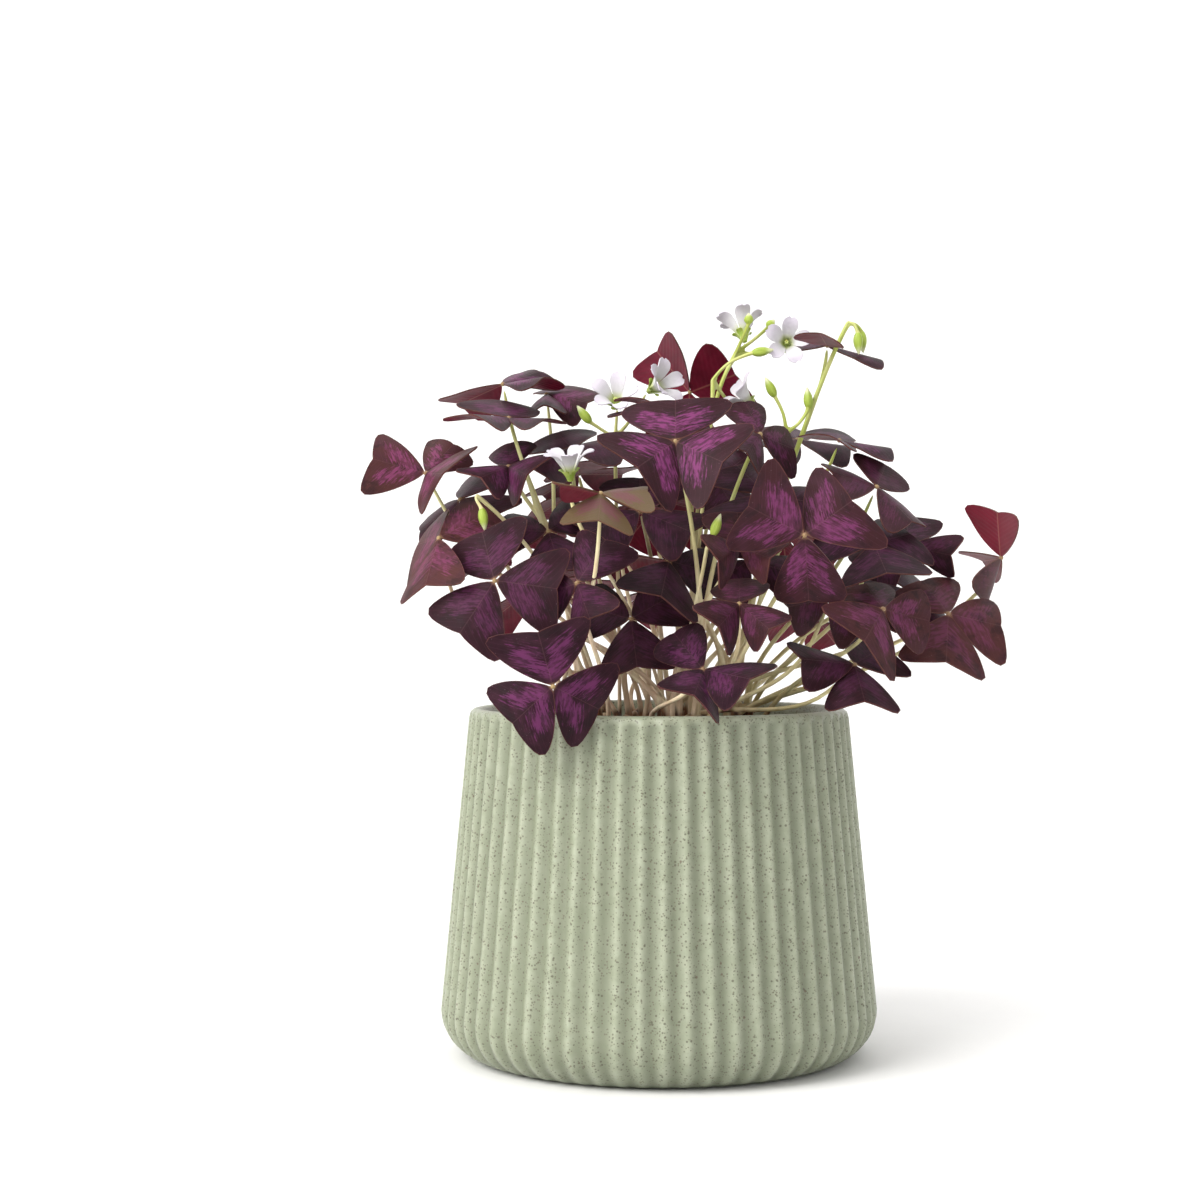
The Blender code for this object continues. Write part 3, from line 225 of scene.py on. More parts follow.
# Half outline of a leaflet from its foot on the midrib round the lobe to the notch, as shares
LEAFLET_OUTLINE = [
    (0.010, 0.022), (0.132, 0.112), (0.280, 0.26), (0.417, 0.425), (0.530, 0.60), (0.604, 0.752),
    (0.638, 0.846), (0.640, 0.908), (0.611, 0.952), (0.550, 0.974), (0.46, 0.976), (0.34, 0.961),
    (0.21, 0.940), (0.10, 0.916), (0.03, 0.897), (0.0, 0.885),
]
# The same outline as the solid has it, to find where its node stands
SOLID_OUTLINE = [(0.020, 0.045), (0.43, 0.47), (0.63, 0.79), (0.575, 0.955), (0.28, 0.95)]
SOLID_NOTCH = 0.875
SOLID_LEAF_THICKNESS = 0.64 * MM

# Middle line of a petal, out from and along the flower's axis, in mm, and its half width on the way
PETAL_LINE = [(0.9, 1.6), (2.2, 5.2), (4.0, 8.5), (6.0, 10.9), (7.9, 12.0), (10.2, 12.3)]
PETAL_HALF = [(0.0, 0.55), (0.2, 1.15), (0.45, 2.4), (0.7, 3.35), (0.86, 3.2), (0.95, 2.3), (1.0, 0.9)]
PETAL_THICKNESS = 0.4 * MM
PETALS = 5
BUD_RADIUS = 1.95 * MM
BUD_LENGTH = 9.4 * MM
SMALL_BUD_LENGTH = 4.6 * MM
# Height along a bud and how wide it is there
BUD_HEIGHTS = [0.0, 0.08, 0.2, 0.4, 0.6, 0.8, 0.93, 1.0]
BUD_WIDTHS = [0.25, 0.62, 0.88, 1.0, 0.86, 0.5, 0.26, 0.0]

# The photo's camera
CAMERA_PLACE = (-0.02425, -0.9723, 0.1875)
CAMERA_LENS = 70.32
CAMERA_SENSOR = 36.0

# Lamps in metres and watts: name, place, what it is aimed at, size, power, colour
LAMPS = [
    ("window_left", (-1.9, -1.5, 1.9), (0.0, 0.0, 0.15), (1.8, 2.4), 113.0, (1.0, 0.985, 0.96)),
    ("soft_front", (0.3, -2.6, 1.1), (0.0, 0.0, 0.16), (1.8, 1.2), 1.0, (1.0, 1.0, 1.0)),
    ("soft_top", (0.2, 0.3, 2.2), (0.0, 0.0, 0.1), (1.8, 1.8), 10.0, (1.0, 1.0, 1.0)),
]
AIR_LIGHT = 0.05
PAPER_GLOW = 0.16
PAPER_SIZE = (7.0, 4.4)
PAPER_WALL = 4.0
PAPER_BEND = 1.2


def deselect_all():
    if bpy.context.object and bpy.context.object.mode != "OBJECT":
        object_mode()
    bpy.ops.object.select_all(action="DESELECT")


def edit_mode():
    bpy.ops.object.mode_set(mode="EDIT")


def object_mode():
    bpy.ops.object.mode_set(mode="OBJECT")


def make_active(piece):
    deselect_all()
    piece.select_set(True)
    bpy.context.view_layer.objects.active = piece


def apply_all(piece):
    make_active(piece)
    for modifier in list(piece.modifiers):
        bpy.ops.object.modifier_apply(modifier=modifier.name)


def settle_place(piece):
    make_active(piece)
    bpy.ops.object.transform_apply(location=True, rotation=True, scale=True)


def join_pieces(pieces, name):
    deselect_all()
    for piece in pieces:
        piece.select_set(True)
    bpy.context.view_layer.objects.active = pieces[0]
    if len(pieces) > 1:
        bpy.ops.object.join()
    joined = bpy.context.view_layer.objects.active
    joined.name = name
    joined.data.name = name
    return joined


def copy_of(piece, name):
    other = piece.copy()
    other.data = piece.data.copy()
    other.name = name
    bpy.context.scene.collection.objects.link(other)
    return other


def merged_copy_of_node(node, name):
    # A copy of a solid's mesh, its loose triangles welded and turned back into quads
    piece = copy_of(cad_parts[node], name)
    piece.parent = None
    piece.matrix_world = Matrix.Identity(4)
    for key in list(piece.keys()):
        del piece[key]
    piece.hide_render = False
    piece.hide_viewport = False
    piece.data.materials.clear()
    make_active(piece)
    edit_mode()
    bpy.ops.mesh.select_all(action="SELECT")
    bpy.ops.mesh.customdata_custom_splitnormals_clear()
    bpy.ops.mesh.remove_doubles(threshold=0.01 * MM)
    bpy.ops.mesh.tris_convert_to_quads(face_threshold=math.radians(40), shape_threshold=math.radians(70))
    object_mode()
    return piece


def vertex_places(mesh):
    places = np.empty(len(mesh.vertices) * 3)
    mesh.vertices.foreach_get("co", places)
    return places.reshape(-1, 3)


def set_places(mesh, places):
    mesh.vertices.foreach_set("co", np.asarray(places, float).ravel())
    mesh.update()


def point_values(mesh, name, values):
    layer = mesh.attributes.get(name) or mesh.attributes.new(name, "FLOAT", "POINT")
    layer.data.foreach_set("value", np.asarray(values, np.float32))


def smooth(piece, angle=None):
    make_active(piece)
    if angle is None:
        bpy.ops.object.shade_smooth()
    else:
        bpy.ops.object.shade_smooth_by_angle(angle=math.radians(angle))


# Small builders for the finishes

class Value:
    # A number or a place that a finish works out at each point, so that a finish reads as plain sums
    def __init__(self, tree, socket):
        self.tree = tree
        self.socket = socket

    def __add__(self, other):
        return worked("ADD", self, other)

    def __sub__(self, other):
        return worked("SUBTRACT", self, other)

    def __rsub__(self, other):
        return worked("SUBTRACT", other, self)

    def __mul__(self, other):
        return worked("MULTIPLY", self, other)

    def __truediv__(self, other):
        return worked("DIVIDE", self, other)

    def __pow__(self, other):
        return worked("POWER", self, other)

    def __abs__(self):
        return worked("ABSOLUTE", self)


def new_finish(name, roughness, **constants):
    paint = bpy.data.materials.new(name)
    paint.use_nodes = True
    inputs = shader_of(paint).inputs
    inputs["Roughness"].default_value = roughness
    for socket, value in constants.items():
        inputs[socket.replace("_", " ")].default_value = value
    return paint


def shader_of(paint):
    return paint.node_tree.nodes["Principled BSDF"]


def set_input(socket, value):
    if isinstance(value, Value):
        value.tree.links.new(value.socket, socket)
    elif socket.type == "RGBA":
        socket.default_value = (*value, 1.0)
    else:
        socket.default_value = value


def worked(operation, first, second=0.0):
    tree = first.tree if isinstance(first, Value) else second.tree
    node = tree.nodes.new("ShaderNodeMath")
    node.operation = operation
    set_input(node.inputs[0], first)
    set_input(node.inputs[1], second)
    return Value(tree, node.outputs[0])


def ease(value, low, high):
    # 0 up to the low mark, 1 from the high mark on, and a soft rise between
    node = value.tree.nodes.new("ShaderNodeMapRange")
    node.interpolation_type = "SMOOTHSTEP"
    set_input(node.inputs["Value"], value)
    set_input(node.inputs["From Min"], low)
    set_input(node.inputs["From Max"], high)
    return Value(value.tree, node.outputs["Result"])


def blend(share, first, second):
    node = share.tree.nodes.new("ShaderNodeMix")
    node.data_type = "RGBA"
    set_input(node.inputs[0], share)
    set_input(node.inputs[6], first)
    set_input(node.inputs[7], second)
    return Value(share.tree, node.outputs[2])


def parts_of(vector):
    node = vector.tree.nodes.new("ShaderNodeSeparateXYZ")
    set_input(node.inputs[0], vector)
    return [Value(vector.tree, output) for output in node.outputs]


def vector_of(*parts):
    node = parts[0].tree.nodes.new("ShaderNodeCombineXYZ")
    for socket, part in zip(node.inputs, parts):
        set_input(socket, part)
    return Value(parts[0].tree, node.outputs[0])


def cloud(vector, scale, detail=3.0, rough=0.5):
    node = vector.tree.nodes.new("ShaderNodeTexNoise")
    set_input(node.inputs["Vector"], vector)
    set_input(node.inputs["Scale"], scale)
    set_input(node.inputs["Detail"], detail)
    set_input(node.inputs["Roughness"], rough)
    return Value(vector.tree, node.outputs["Fac"])


def cells(vector, scale):
    # Distance to the middle of the nearest cell, and two numbers that each cell draws for itself
    node = vector.tree.nodes.new("ShaderNodeTexVoronoi")
    set_input(node.inputs["Vector"], vector)
    set_input(node.inputs["Scale"], scale)
    pick, size = parts_of(Value(vector.tree, node.outputs["Color"]))[:2]
    return Value(vector.tree, node.outputs["Distance"]), pick, size


def object_places(paint):
    return Value(paint.node_tree, paint.node_tree.nodes.new("ShaderNodeTexCoord").outputs["Object"])


def surface_places(paint, name):
    node = paint.node_tree.nodes.new("ShaderNodeUVMap")
    node.uv_map = name
    return parts_of(Value(paint.node_tree, node.outputs["UV"]))[:2]


def stored(paint, name):
    node = paint.node_tree.nodes.new("ShaderNodeAttribute")
    node.attribute_name = name
    return Value(paint.node_tree, node.outputs["Fac"])


def coloured(paint, body, height, strength, distance):
    # The finish with its colour and a fine relief
    node = paint.node_tree.nodes.new("ShaderNodeBump")
    set_input(node.inputs["Strength"], strength)
    set_input(node.inputs["Distance"], distance)
    set_input(node.inputs["Height"], height)
    set_input(shader_of(paint).inputs["Base Color"], body)
    paint.node_tree.links.new(node.outputs["Normal"], shader_of(paint).inputs["Normal"])
    return paint


def speckled_glaze():
    # Sage green satin glaze with fine iron specks, paler on the crests of the ribs and darker in the grooves,
    # partly where the glaze pools and partly as painted shade
    paint = new_finish("sage_speckled_glaze", 0.38, Specular_IOR_Level=0.5)
    place = object_places(paint)
    mottle = ease(cloud(place, 170.0, 3.0), 0.35, 0.65)
    base = blend(mottle, (0.292, 0.322, 0.228), (0.345, 0.372, 0.275))
    # Painted shade in the rib grooves, darkest where the groove is deepest, partly glaze pooled there
    base = blend(stored(paint, "groove") * 0.76, base, (0.142, 0.160, 0.102))
    grain = ease(cloud(place, 800.0, 2.0), 0.5, 0.7)
    base = blend(grain * 0.25, base, (0.20, 0.22, 0.15))
    for scale, size, share, tint in GLAZE_SPECKS:
        distance, pick, width = cells(place, scale)
        spot = ease(width * (size * 0.7) + size * 0.5 - distance, -0.04, 0.07)
        chosen = worked("LESS_THAN", pick, share)
        base = blend(spot * chosen * 0.74, base, tint)
    return coloured(paint, base, cloud(place, 900.0, 1.0), 0.12, 0.0003)


def leaf_places(paint):
    # The leaflet's own places: across the midrib, out along it, and along its side veins
    across, out = surface_places(paint, "blade")
    across = (across - 0.5) * BLADE_MAP[0]
    out = out * BLADE_MAP[1]
    half = abs(across)
    vein = out - half * VEIN_SLOPE
    return across, out, half, vein


def flame_on(out, half, streaks, patches):
    # Two arms of a flame run from the midrib toward the lobes, with ragged edges
    from_foot = out - 0.20
    off_arm = abs(half * 0.84 - from_foot * 0.54)
    along_arm = half * 0.54 + from_foot * 0.84
    from_middle = (along_arm - 0.28) / 0.42
    width = (1.0 - abs(from_middle) ** 2.4) * 0.14
    ragged = (streaks - 0.5) * 0.62 + (patches - 0.5) * 0.30
    return ease(width - off_arm + ragged, -0.05, 0.08) * ease(out, 0.06, 0.24)


def leaf_upper():
    paint = new_finish("leaf_upper_side", 0.46, Specular_IOR_Level=0.08)
    across, out, half, vein = leaf_places(paint)
    seed = stored(paint, "seed") * 37.0
    age = stored(paint, "age")
    side_seed = seed + worked("SIGN", across) * 2.3
    patch_place = vector_of(across, out, seed)
    streaks = cloud(vector_of(vein * 15.0, half * 2.4, side_seed), 2.4, 3.0, 0.7)
    patches = cloud(patch_place, 3.2, 2.0)
    flame = flame_on(out, half, streaks, patches)
    # Torn into pieces along the side veins
    torn = cloud(vector_of(vein * 9.0, half * 5.0, side_seed), 1.5, 3.0, 0.6)
    torn = ease(torn * 0.65 + streaks * 0.35, 0.42, 0.57)
    strong = flame * (torn * 0.72 + 0.28) * stored(paint, "flame_share")
    dark = blend(age, (0.018, 0.0055, 0.0105), (0.076, 0.026, 0.024))
    dark = blend(ease(patches, 0.35, 0.7) * 0.45, dark, (0.055, 0.018, 0.032))
    smoke = ease(cloud(vector_of(across, out, seed + 5.0), 4.5, 3.0, 0.6), 0.48, 0.66)
    dark = blend(smoke * 0.6, dark, (0.018, 0.010, 0.012))
    violet = blend(age, (0.175, 0.034, 0.135), (0.200, 0.044, 0.105))
    body = blend(strong, dark, violet)
    olive = blend(flame, (0.115, 0.082, 0.041), (0.135, 0.058, 0.058))
    body = blend(stored(paint, "pale"), body, olive)
    # Side veins, midrib, the fine brown edge and the pale foot
    comb = worked("SINE", vein * SIDE_VEINS)
    rib = 1.0 - ease(half, 0.003, 0.010)
    edge = 1.0 - ease(stored(paint, "rim"), 0.003, 0.016)
    foot = 1.0 - ease(out, 0.02, 0.075)
    body = blend(ease(comb, 0.90, 1.0) * 0.06, body, (0.20, 0.07, 0.11))
    body = blend(rib * 0.12, body, (0.20, 0.09, 0.10))
    body = blend(edge * 0.42, body, (0.17, 0.065, 0.050))
    body = blend(foot * 0.5, body, (0.34, 0.20, 0.11))
    # Pale freckles of dust, few and small
    distance, pick, strength = cells(patch_place, 34.0)
    freckle = (1.0 - ease(distance, 0.10, 0.20)) * worked("LESS_THAN", pick, 0.16)
    body = blend(freckle * (strength * 0.5), body, (0.22, 0.15, 0.17))
    height = comb * 0.12 - rib + cloud(patch_place, 60.0, 1.0) * 0.9
    return coloured(paint, body, height, 0.30, 0.00022)


def leaf_underside():
    paint = new_finish("leaf_underside", 0.5, Specular_IOR_Level=0.2)
    across, out, half, vein = leaf_places(paint)
    patches = cloud(vector_of(across, out, stored(paint, "seed") * 37.0), 4.0, 3.0)
    body = blend(ease(patches, 0.3, 0.7), (0.115, 0.003, 0.017), (0.170, 0.006, 0.027))
    body = blend(stored(paint, "age") * 0.5, body, (0.16, 0.022, 0.030))
    comb = worked("SINE", vein * SIDE_VEINS)
    rib = 1.0 - ease(half, 0.006, 0.02)
    body = blend(ease(comb, 0.86, 1.0) * 0.3, body, (0.10, 0.006, 0.020))
    body = blend(rib * 0.5, body, (0.32, 0.12, 0.09))
    return coloured(paint, body, comb * 0.3 + rib, 0.35, 0.0003)


def stalk_skin():
    # Straw and pinkish at the foot, yellow-green toward the top and the right, brown scales below
    paint = new_finish("stalk_skin", 0.42, Specular_IOR_Level=0.45)
    x, y, z = parts_of(object_places(paint))
    each = cloud(vector_of(x, y, z * 0.12), 190.0, 1.0)
    thread = cloud(vector_of(x, y, z * 0.06), 1500.0, 2.0)
    straw = blend(ease(each, 0.38, 0.62), (0.88, 0.77, 0.52), (0.84, 0.62, 0.46))
    green = blend(ease(each, 0.35, 0.65), (0.38, 0.44, 0.08), (0.52, 0.55, 0.18))
    rise = ease(z, 0.165, 0.265) * 0.85
    right = ease(x, -0.01, 0.06) * 0.5
    body = blend(rise + right + (each - 0.5) * 0.9, straw, green)
    body = blend(ease(thread, 0.5, 0.8) * 0.3, body, (0.50, 0.36, 0.18))
    husk = 1.0 - ease(z + (each - 0.5) * 0.016, SOIL_TOP + 0.005, SOIL_TOP + 0.011)
    scales = ease(cloud(vector_of(x, y, z * 0.3), 420.0, 4.0), 0.35, 0.65)
    body = blend(husk, body, blend(scales, (0.075, 0.032, 0.015), (0.27, 0.13, 0.055)))
    return coloured(paint, body, thread, 0.3, 0.0002)


def young_green(name, first, second):
    paint = new_finish(name, 0.45, Specular_IOR_Level=0.45)
    place = object_places(paint)
    body = blend(ease(cloud(place, 300.0, 3.0), 0.35, 0.65), first, second)
    return coloured(paint, body, cloud(place, 1400.0, 2.0), 0.2, 0.0002)


def bud_skin():
    paint = new_finish("bud_skin", 0.45, Specular_IOR_Level=0.45)
    around, up = surface_places(paint, "along")
    streak = cloud(vector_of(around * 24.0, up, 0.0), 2.0, 3.0)
    lower = blend(ease(streak, 0.35, 0.65), (0.26, 0.36, 0.035), (0.40, 0.50, 0.08))
    body = blend(ease(up, 0.55, 0.80), lower, (0.66, 0.68, 0.42))
    return coloured(paint, body, streak, 0.3, 0.0002)


def petal_skin():
    # White with a breath of lavender outward, yellow-green in the throat, fine long veins
    paint = new_finish("petal_skin", 0.55, Specular_IOR_Level=0.3, Sheen_Weight=0.15)
    around, up = surface_places(paint, "along")
    veins = worked("SINE", around * 62.0)
    throat = 1.0 - ease(up, 0.10, 0.42)
    body = blend(ease(up, 0.4, 1.0), (0.66, 0.65, 0.67), (0.60, 0.555, 0.64))
    body = blend(ease(veins, 0.75, 1.0) * 0.22, body, (0.50, 0.45, 0.55))
    body = blend(throat * 0.85, body, (0.52, 0.60, 0.16))
    return coloured(paint, body, veins, 0.15, 0.0002)


def dark_soil():
    paint = new_finish("dark_soil", 0.95)
    place = object_places(paint)
    share = ease(cloud(place, 260.0, 5.0, 0.7), 0.35, 0.68)
    body = blend(share, (0.018, 0.011, 0.007), (0.10, 0.050, 0.026))
    return coloured(paint, body, cloud(place, 700.0, 5.0, 0.7), 0.8, 0.0012)


def dry_scale():
    paint = new_finish("dry_scale", 0.6)
    place = object_places(paint)
    body = blend(ease(cloud(place, 500.0, 4.0), 0.35, 0.65), (0.15, 0.055, 0.024), (0.36, 0.18, 0.08))
    return coloured(paint, body, cloud(place, 1600.0, 3.0), 0.5, 0.0003)


def white_paper():
    # The paper glows far off and to the right, so that only a soft shadow stays, close to the pot
    paint = new_finish("white_paper", 0.9, Specular_IOR_Level=0.1)
    place = object_places(paint)
    inputs = shader_of(paint).inputs
    set_input(inputs["Base Color"], blend(cloud(place, 40.0, 1.0), (0.86, 0.86, 0.86), (0.88, 0.88, 0.88)))
    set_input(inputs["Emission Color"], (1.0, 1.0, 1.0))
    x, y, z = parts_of(place)
    far_off = ease(y, 0.8, 2.0)
    beside = ease(x, 0.07, 0.22) * ease(y, -0.12, 0.05)
    set_input(inputs["Emission Strength"], worked("MAXIMUM", far_off, beside) * PAPER_GLOW)
    # So faint a glow isn't sampled as a lamp, which keeps the render quick
    paint.cycles.emission_sampling = "NONE"
    return paint


def set_up_camera():
    bpy.ops.object.camera_add(location=CAMERA_PLACE, rotation=(math.radians(90), 0.0, 0.0))
    camera = bpy.context.object
    camera.data.lens = CAMERA_LENS
    camera.data.sensor_width = CAMERA_SENSOR
    camera.data.clip_start = 0.01
    camera.data.clip_end = 30.0
    bpy.context.scene.camera = camera


def area_light(name, place, aim, size, power, tint):
    way = (Vector(aim) - Vector(place)).to_track_quat("-Z", "Y")
    bpy.ops.object.light_add(type="AREA", location=place, rotation=way.to_euler())
    lamp = bpy.context.object
    lamp.name = name
    lamp.data.shape = "RECTANGLE"
    lamp.data.size = size[0]
    lamp.data.size_y = size[1]
    lamp.data.energy = power
    lamp.data.color = tint


def set_up_studio():
    # A white paper sweep: floor, a round bend and a wall behind
    deselect_all()
    bpy.ops.mesh.primitive_plane_add(size=1.0, location=(0.0, 0.0, 0.0))
    sweep = bpy.context.object
    sweep.name = "paper_sweep"
    sweep.scale = (*PAPER_SIZE, 1.0)
    settle_place(sweep)
    edit_mode()
    form = bmesh.from_edit_mesh(sweep.data)
    for edge in form.edges:
        edge.select = all(vertex.co.y > 2.0 for vertex in edge.verts)
    form.select_flush(True)
    bmesh.update_edit_mesh(sweep.data)
    bpy.ops.mesh.extrude_region_move(TRANSFORM_OT_translate={"value": (0.0, 0.0, PAPER_WALL)})
    form = bmesh.from_edit_mesh(sweep.data)
    for edge in form.edges:
        edge.select = all(vertex.co.y > 2.0 and vertex.co.z < 0.1 for vertex in edge.verts)
    bmesh.update_edit_mesh(sweep.data)
    bpy.ops.mesh.bevel(offset=PAPER_BEND, segments=16, affect="EDGES")
    object_mode()
    smooth(sweep)
    sweep.data.materials.append(white_paper())
    for lamp in LAMPS:
        area_light(*lamp)
    world = bpy.data.worlds.new("studio_air")
    world.use_nodes = True
    air = world.node_tree.nodes["Background"].inputs
    air["Color"].default_value = (1.0, 1.0, 1.0, 1.0)
    air["Strength"].default_value = AIR_LIGHT
    bpy.context.scene.world = world
    bpy.context.scene.view_settings.view_transform = "Standard"


# Pot, soil and what lies on it

def wall_radius(height):
    return POT_WIDEST_RADIUS - POT_LEAN * (height - POT_FOOT_ROUND)


def pot_profile():
    # Down the outer side from the crown of the lip, under the foot and up the smooth inside
    top = wall_radius(POT_HEIGHT - LIP_ROUND)
    inside_top = top - POT_WALL - 0.5 * MM
    foot = POT_WIDEST_RADIUS - POT_FOOT_ROUND
    points = [(inside_top + 3.4 * MM, POT_HEIGHT), (top - 2.2 * MM, POT_HEIGHT - 0.35 * MM),
              (top - 0.7 * MM, POT_HEIGHT - 1.5 * MM), (top, POT_HEIGHT - LIP_ROUND)]
    for row in range(1, POT_ROWS):
        height = POT_HEIGHT - LIP_ROUND - (POT_HEIGHT - LIP_ROUND - POT_FOOT_ROUND) * row / POT_ROWS
        points.append((wall_radius(height), height))
    for step in range(0, 11):
        turn = math.radians(9.0 * step)
        points.append((foot + POT_FOOT_ROUND * math.cos(turn), POT_FOOT_ROUND * (1.0 - math.sin(turn))))
    points += [(foot - 10 * MM, 0.0), (30 * MM, 0.0), (0.0, 0.0)]
    points += [(0.0, POT_FLOOR), (foot - 8 * MM, POT_FLOOR)]
    low = wall_radius(POT_FLOOR + 14 * MM) - POT_WALL
    points += [(low - 3 * MM, POT_FLOOR + 4 * MM), (low, POT_FLOOR + 14 * MM)]
    points += [(inside_top, POT_HEIGHT - LIP_ROUND), (inside_top + 0.4 * MM, POT_HEIGHT - 1.9 * MM),
               (inside_top + 1.6 * MM, POT_HEIGHT - 0.5 * MM)]
    return points


def build_pot():
    # The profile grows from a small plane by extruding, is spun round, then its ribs are pressed in
    deselect_all()
    points = pot_profile()
    bpy.ops.mesh.primitive_plane_add(size=1 * MM)
    pot = bpy.context.object
    pot.name = "pot_ribbed"
    edit_mode()
    bpy.ops.mesh.merge(type="CENTER")
    x, z = points[0]
    bpy.ops.transform.translate(value=(x, 0.0, z))
    for before, after in zip(points, points[1:]):
        step = (after[0] - before[0], 0.0, after[1] - before[1])
        bpy.ops.mesh.extrude_region_move(TRANSFORM_OT_translate={"value": step})
    form = bmesh.from_edit_mesh(pot.data)
    form.verts.ensure_lookup_table()
    start = min(form.verts, key=lambda v: (v.co - Vector((points[0][0], 0.0, points[0][1]))).length)
    end = min(form.verts, key=lambda v: (v.co - Vector((points[-1][0], 0.0, points[-1][1]))).length)
    form.edges.new((start, end))
    bmesh.update_edit_mesh(pot.data)
    bpy.ops.mesh.select_all(action="SELECT")
    bpy.ops.mesh.spin(steps=POT_COLUMNS, angle=math.tau, center=(0.0, 0.0, 0.0), axis=(0.0, 0.0, 1.0))
    bpy.ops.mesh.select_all(action="SELECT")
    bpy.ops.mesh.remove_doubles(threshold=0.01 * MM)
    bpy.ops.mesh.normals_make_consistent(inside=False)
    object_mode()
    places = vertex_places(pot.data)
    radius = np.hypot(places[:, 0], places[:, 1])
    height = places[:, 2]
    foot = POT_WIDEST_RADIUS - POT_FOOT_ROUND
    outside = (radius > wall_radius(height) - 0.05 * MM) & (height >= POT_FOOT_ROUND - 0.1 * MM)
    rounding = (height < POT_FOOT_ROUND) & (radius > foot)
    # The ribs run out at the lip and under the foot
    fade = np.where(outside, np.clip((POT_HEIGHT - 1.2 * MM - height) / (2.8 * MM), 0.0, 1.0), 0.0)
    fade = np.where(rounding & ~outside, np.clip((radius - foot) / (12.0 * MM), 0.0, 1.0), fade)
    wave = 0.5 - 0.5 * np.cos(POT_RIBS * np.arctan2(places[:, 1], places[:, 0]))
    press = fade * wave ** 0.85
    share = np.where(radius > 1e-6, (radius - RIB_DEPTH * press) / np.maximum(radius, 1e-6), 1.0)
    places[:, 0] *= share
    places[:, 1] *= share
    set_places(pot.data, places)
    # The groove depth also darkens the glaze's colour there as painted shade
    point_values(pot.data, "groove", press)
    smooth(pot)
    pot.data.materials.append(speckled_glaze())
    return pot


def build_soil():
    # The solid's soil with its top split fine and heaped up in crumbs
    soil = merged_copy_of_node("soil", "soil_bed")
    edit_mode()
    form = bmesh.from_edit_mesh(soil.data)
    for face in form.faces:
        face.select = face.calc_center_median().z > SOIL_TOP - SURFACE_DEPTH and face.normal.z > 0.5
    bmesh.update_edit_mesh(soil.data)
    bpy.ops.mesh.subdivide(number_cuts=5)
    object_mode()
    places = vertex_places(soil.data)
    draw = random.Random(21)
    radius = np.hypot(places[:, 0], places[:, 1])
    for index in range(len(places)):
        if places[index, 2] > SOIL_TOP - SURFACE_DEPTH and CLUMP_RADIUS < radius[index] < 74 * MM:
            places[index, 2] += draw.uniform(-0.9, 0.9) * MM
            places[index, 0] += draw.uniform(-0.3, 0.3) * MM
            places[index, 1] += draw.uniform(-0.3, 0.3) * MM
    set_places(soil.data, places)
    smooth(soil, 60)
    soil.data.materials.append(dark_soil())
    return soil


def scattered(blank, name, count, seed, place_of):
    # Copies of one small shape, each turned, sized and set down by a seeded draw
    draw = random.Random(seed)
    copies = []
    for number in range(count):
        piece = copy_of(blank, "%s_%d" % (name, number))
        piece.data.transform(place_of(draw))
        copies.append(piece)
    bpy.data.objects.remove(blank, do_unlink=True)
    return join_pieces(copies, name)


def build_crumbs():
    deselect_all()
    bpy.ops.mesh.primitive_ico_sphere_add(subdivisions=2, radius=1.0)
    crumb = bpy.context.object
    edit_mode()
    bpy.ops.transform.vertex_random(offset=0.28, seed=3)
    object_mode()
    crumb.data.materials.append(dark_soil())

    def on_the_bed(draw):
        radius = math.sqrt(draw.uniform(8.0 ** 2, 71.0 ** 2)) * MM
        turn = draw.uniform(0.0, math.tau)
        size = draw.uniform(0.5, 1.7) * MM
        bed = SOIL_TOP if radius > CLUMP_RADIUS else SOIL_TOP - CLUMP_DIP
        place = Vector((radius * math.cos(turn), radius * math.sin(turn), bed + size * 0.35))
        spin = Matrix.Rotation(draw.uniform(0.0, math.tau), 4, Vector((draw.random(), draw.random(), 1.0)))
        stretch = Matrix.Diagonal((size, size * draw.uniform(0.6, 1.0), size * draw.uniform(0.5, 0.9), 1.0))
        return Matrix.Translation(place) @ spin @ stretch

    return scattered(crumb, "soil_crumbs", CRUMBS, 31, on_the_bed)


def build_dry_scales():
    # Papery brown scales that stand round the feet of the stalks
    deselect_all()
    bpy.ops.mesh.primitive_grid_add(x_subdivisions=4, y_subdivisions=6, size=2.0)
    scale = bpy.context.object
    places = vertex_places(scale.data)
    across = places[:, 0].copy()
    up = (places[:, 1] + 1.0) / 2.0
    wide = np.sin(math.pi * np.clip(up * 0.86 + 0.14, 0.0, 1.0)) ** 0.7
    places[:, 0] = across * wide * 0.36
    places[:, 1] = 0.42 * (across * wide) ** 2 * 0.36 + 0.25 * up * up
    places[:, 2] = up
    set_places(scale.data, places)
    wall = scale.modifiers.new("wall", "SOLIDIFY")
    wall.thickness = 0.05
    wall.offset = 0.0
    apply_all(scale)
    smooth(scale)
    scale.data.materials.append(dry_scale())

    def by_the_stalks(draw):
        radius = math.sqrt(draw.uniform(6.0 ** 2, 47.0 ** 2)) * MM
        turn = draw.uniform(0.0, math.tau)
        size = draw.uniform(4.0, 10.0) * MM
        place = Vector((radius * math.cos(turn), radius * math.sin(turn), SOIL_TOP - 3.6 * MM))
        lean = Matrix.Rotation(draw.uniform(-0.5, 0.5), 4, "X")
        spin = Matrix.Rotation(draw.uniform(0.0, math.tau), 4, "Z")
        return Matrix.Translation(place) @ spin @ lean @ Matrix.Scale(size, 4)

    return scattered(scale, "dry_scales", DRY_SCALES, 32, by_the_stalks)


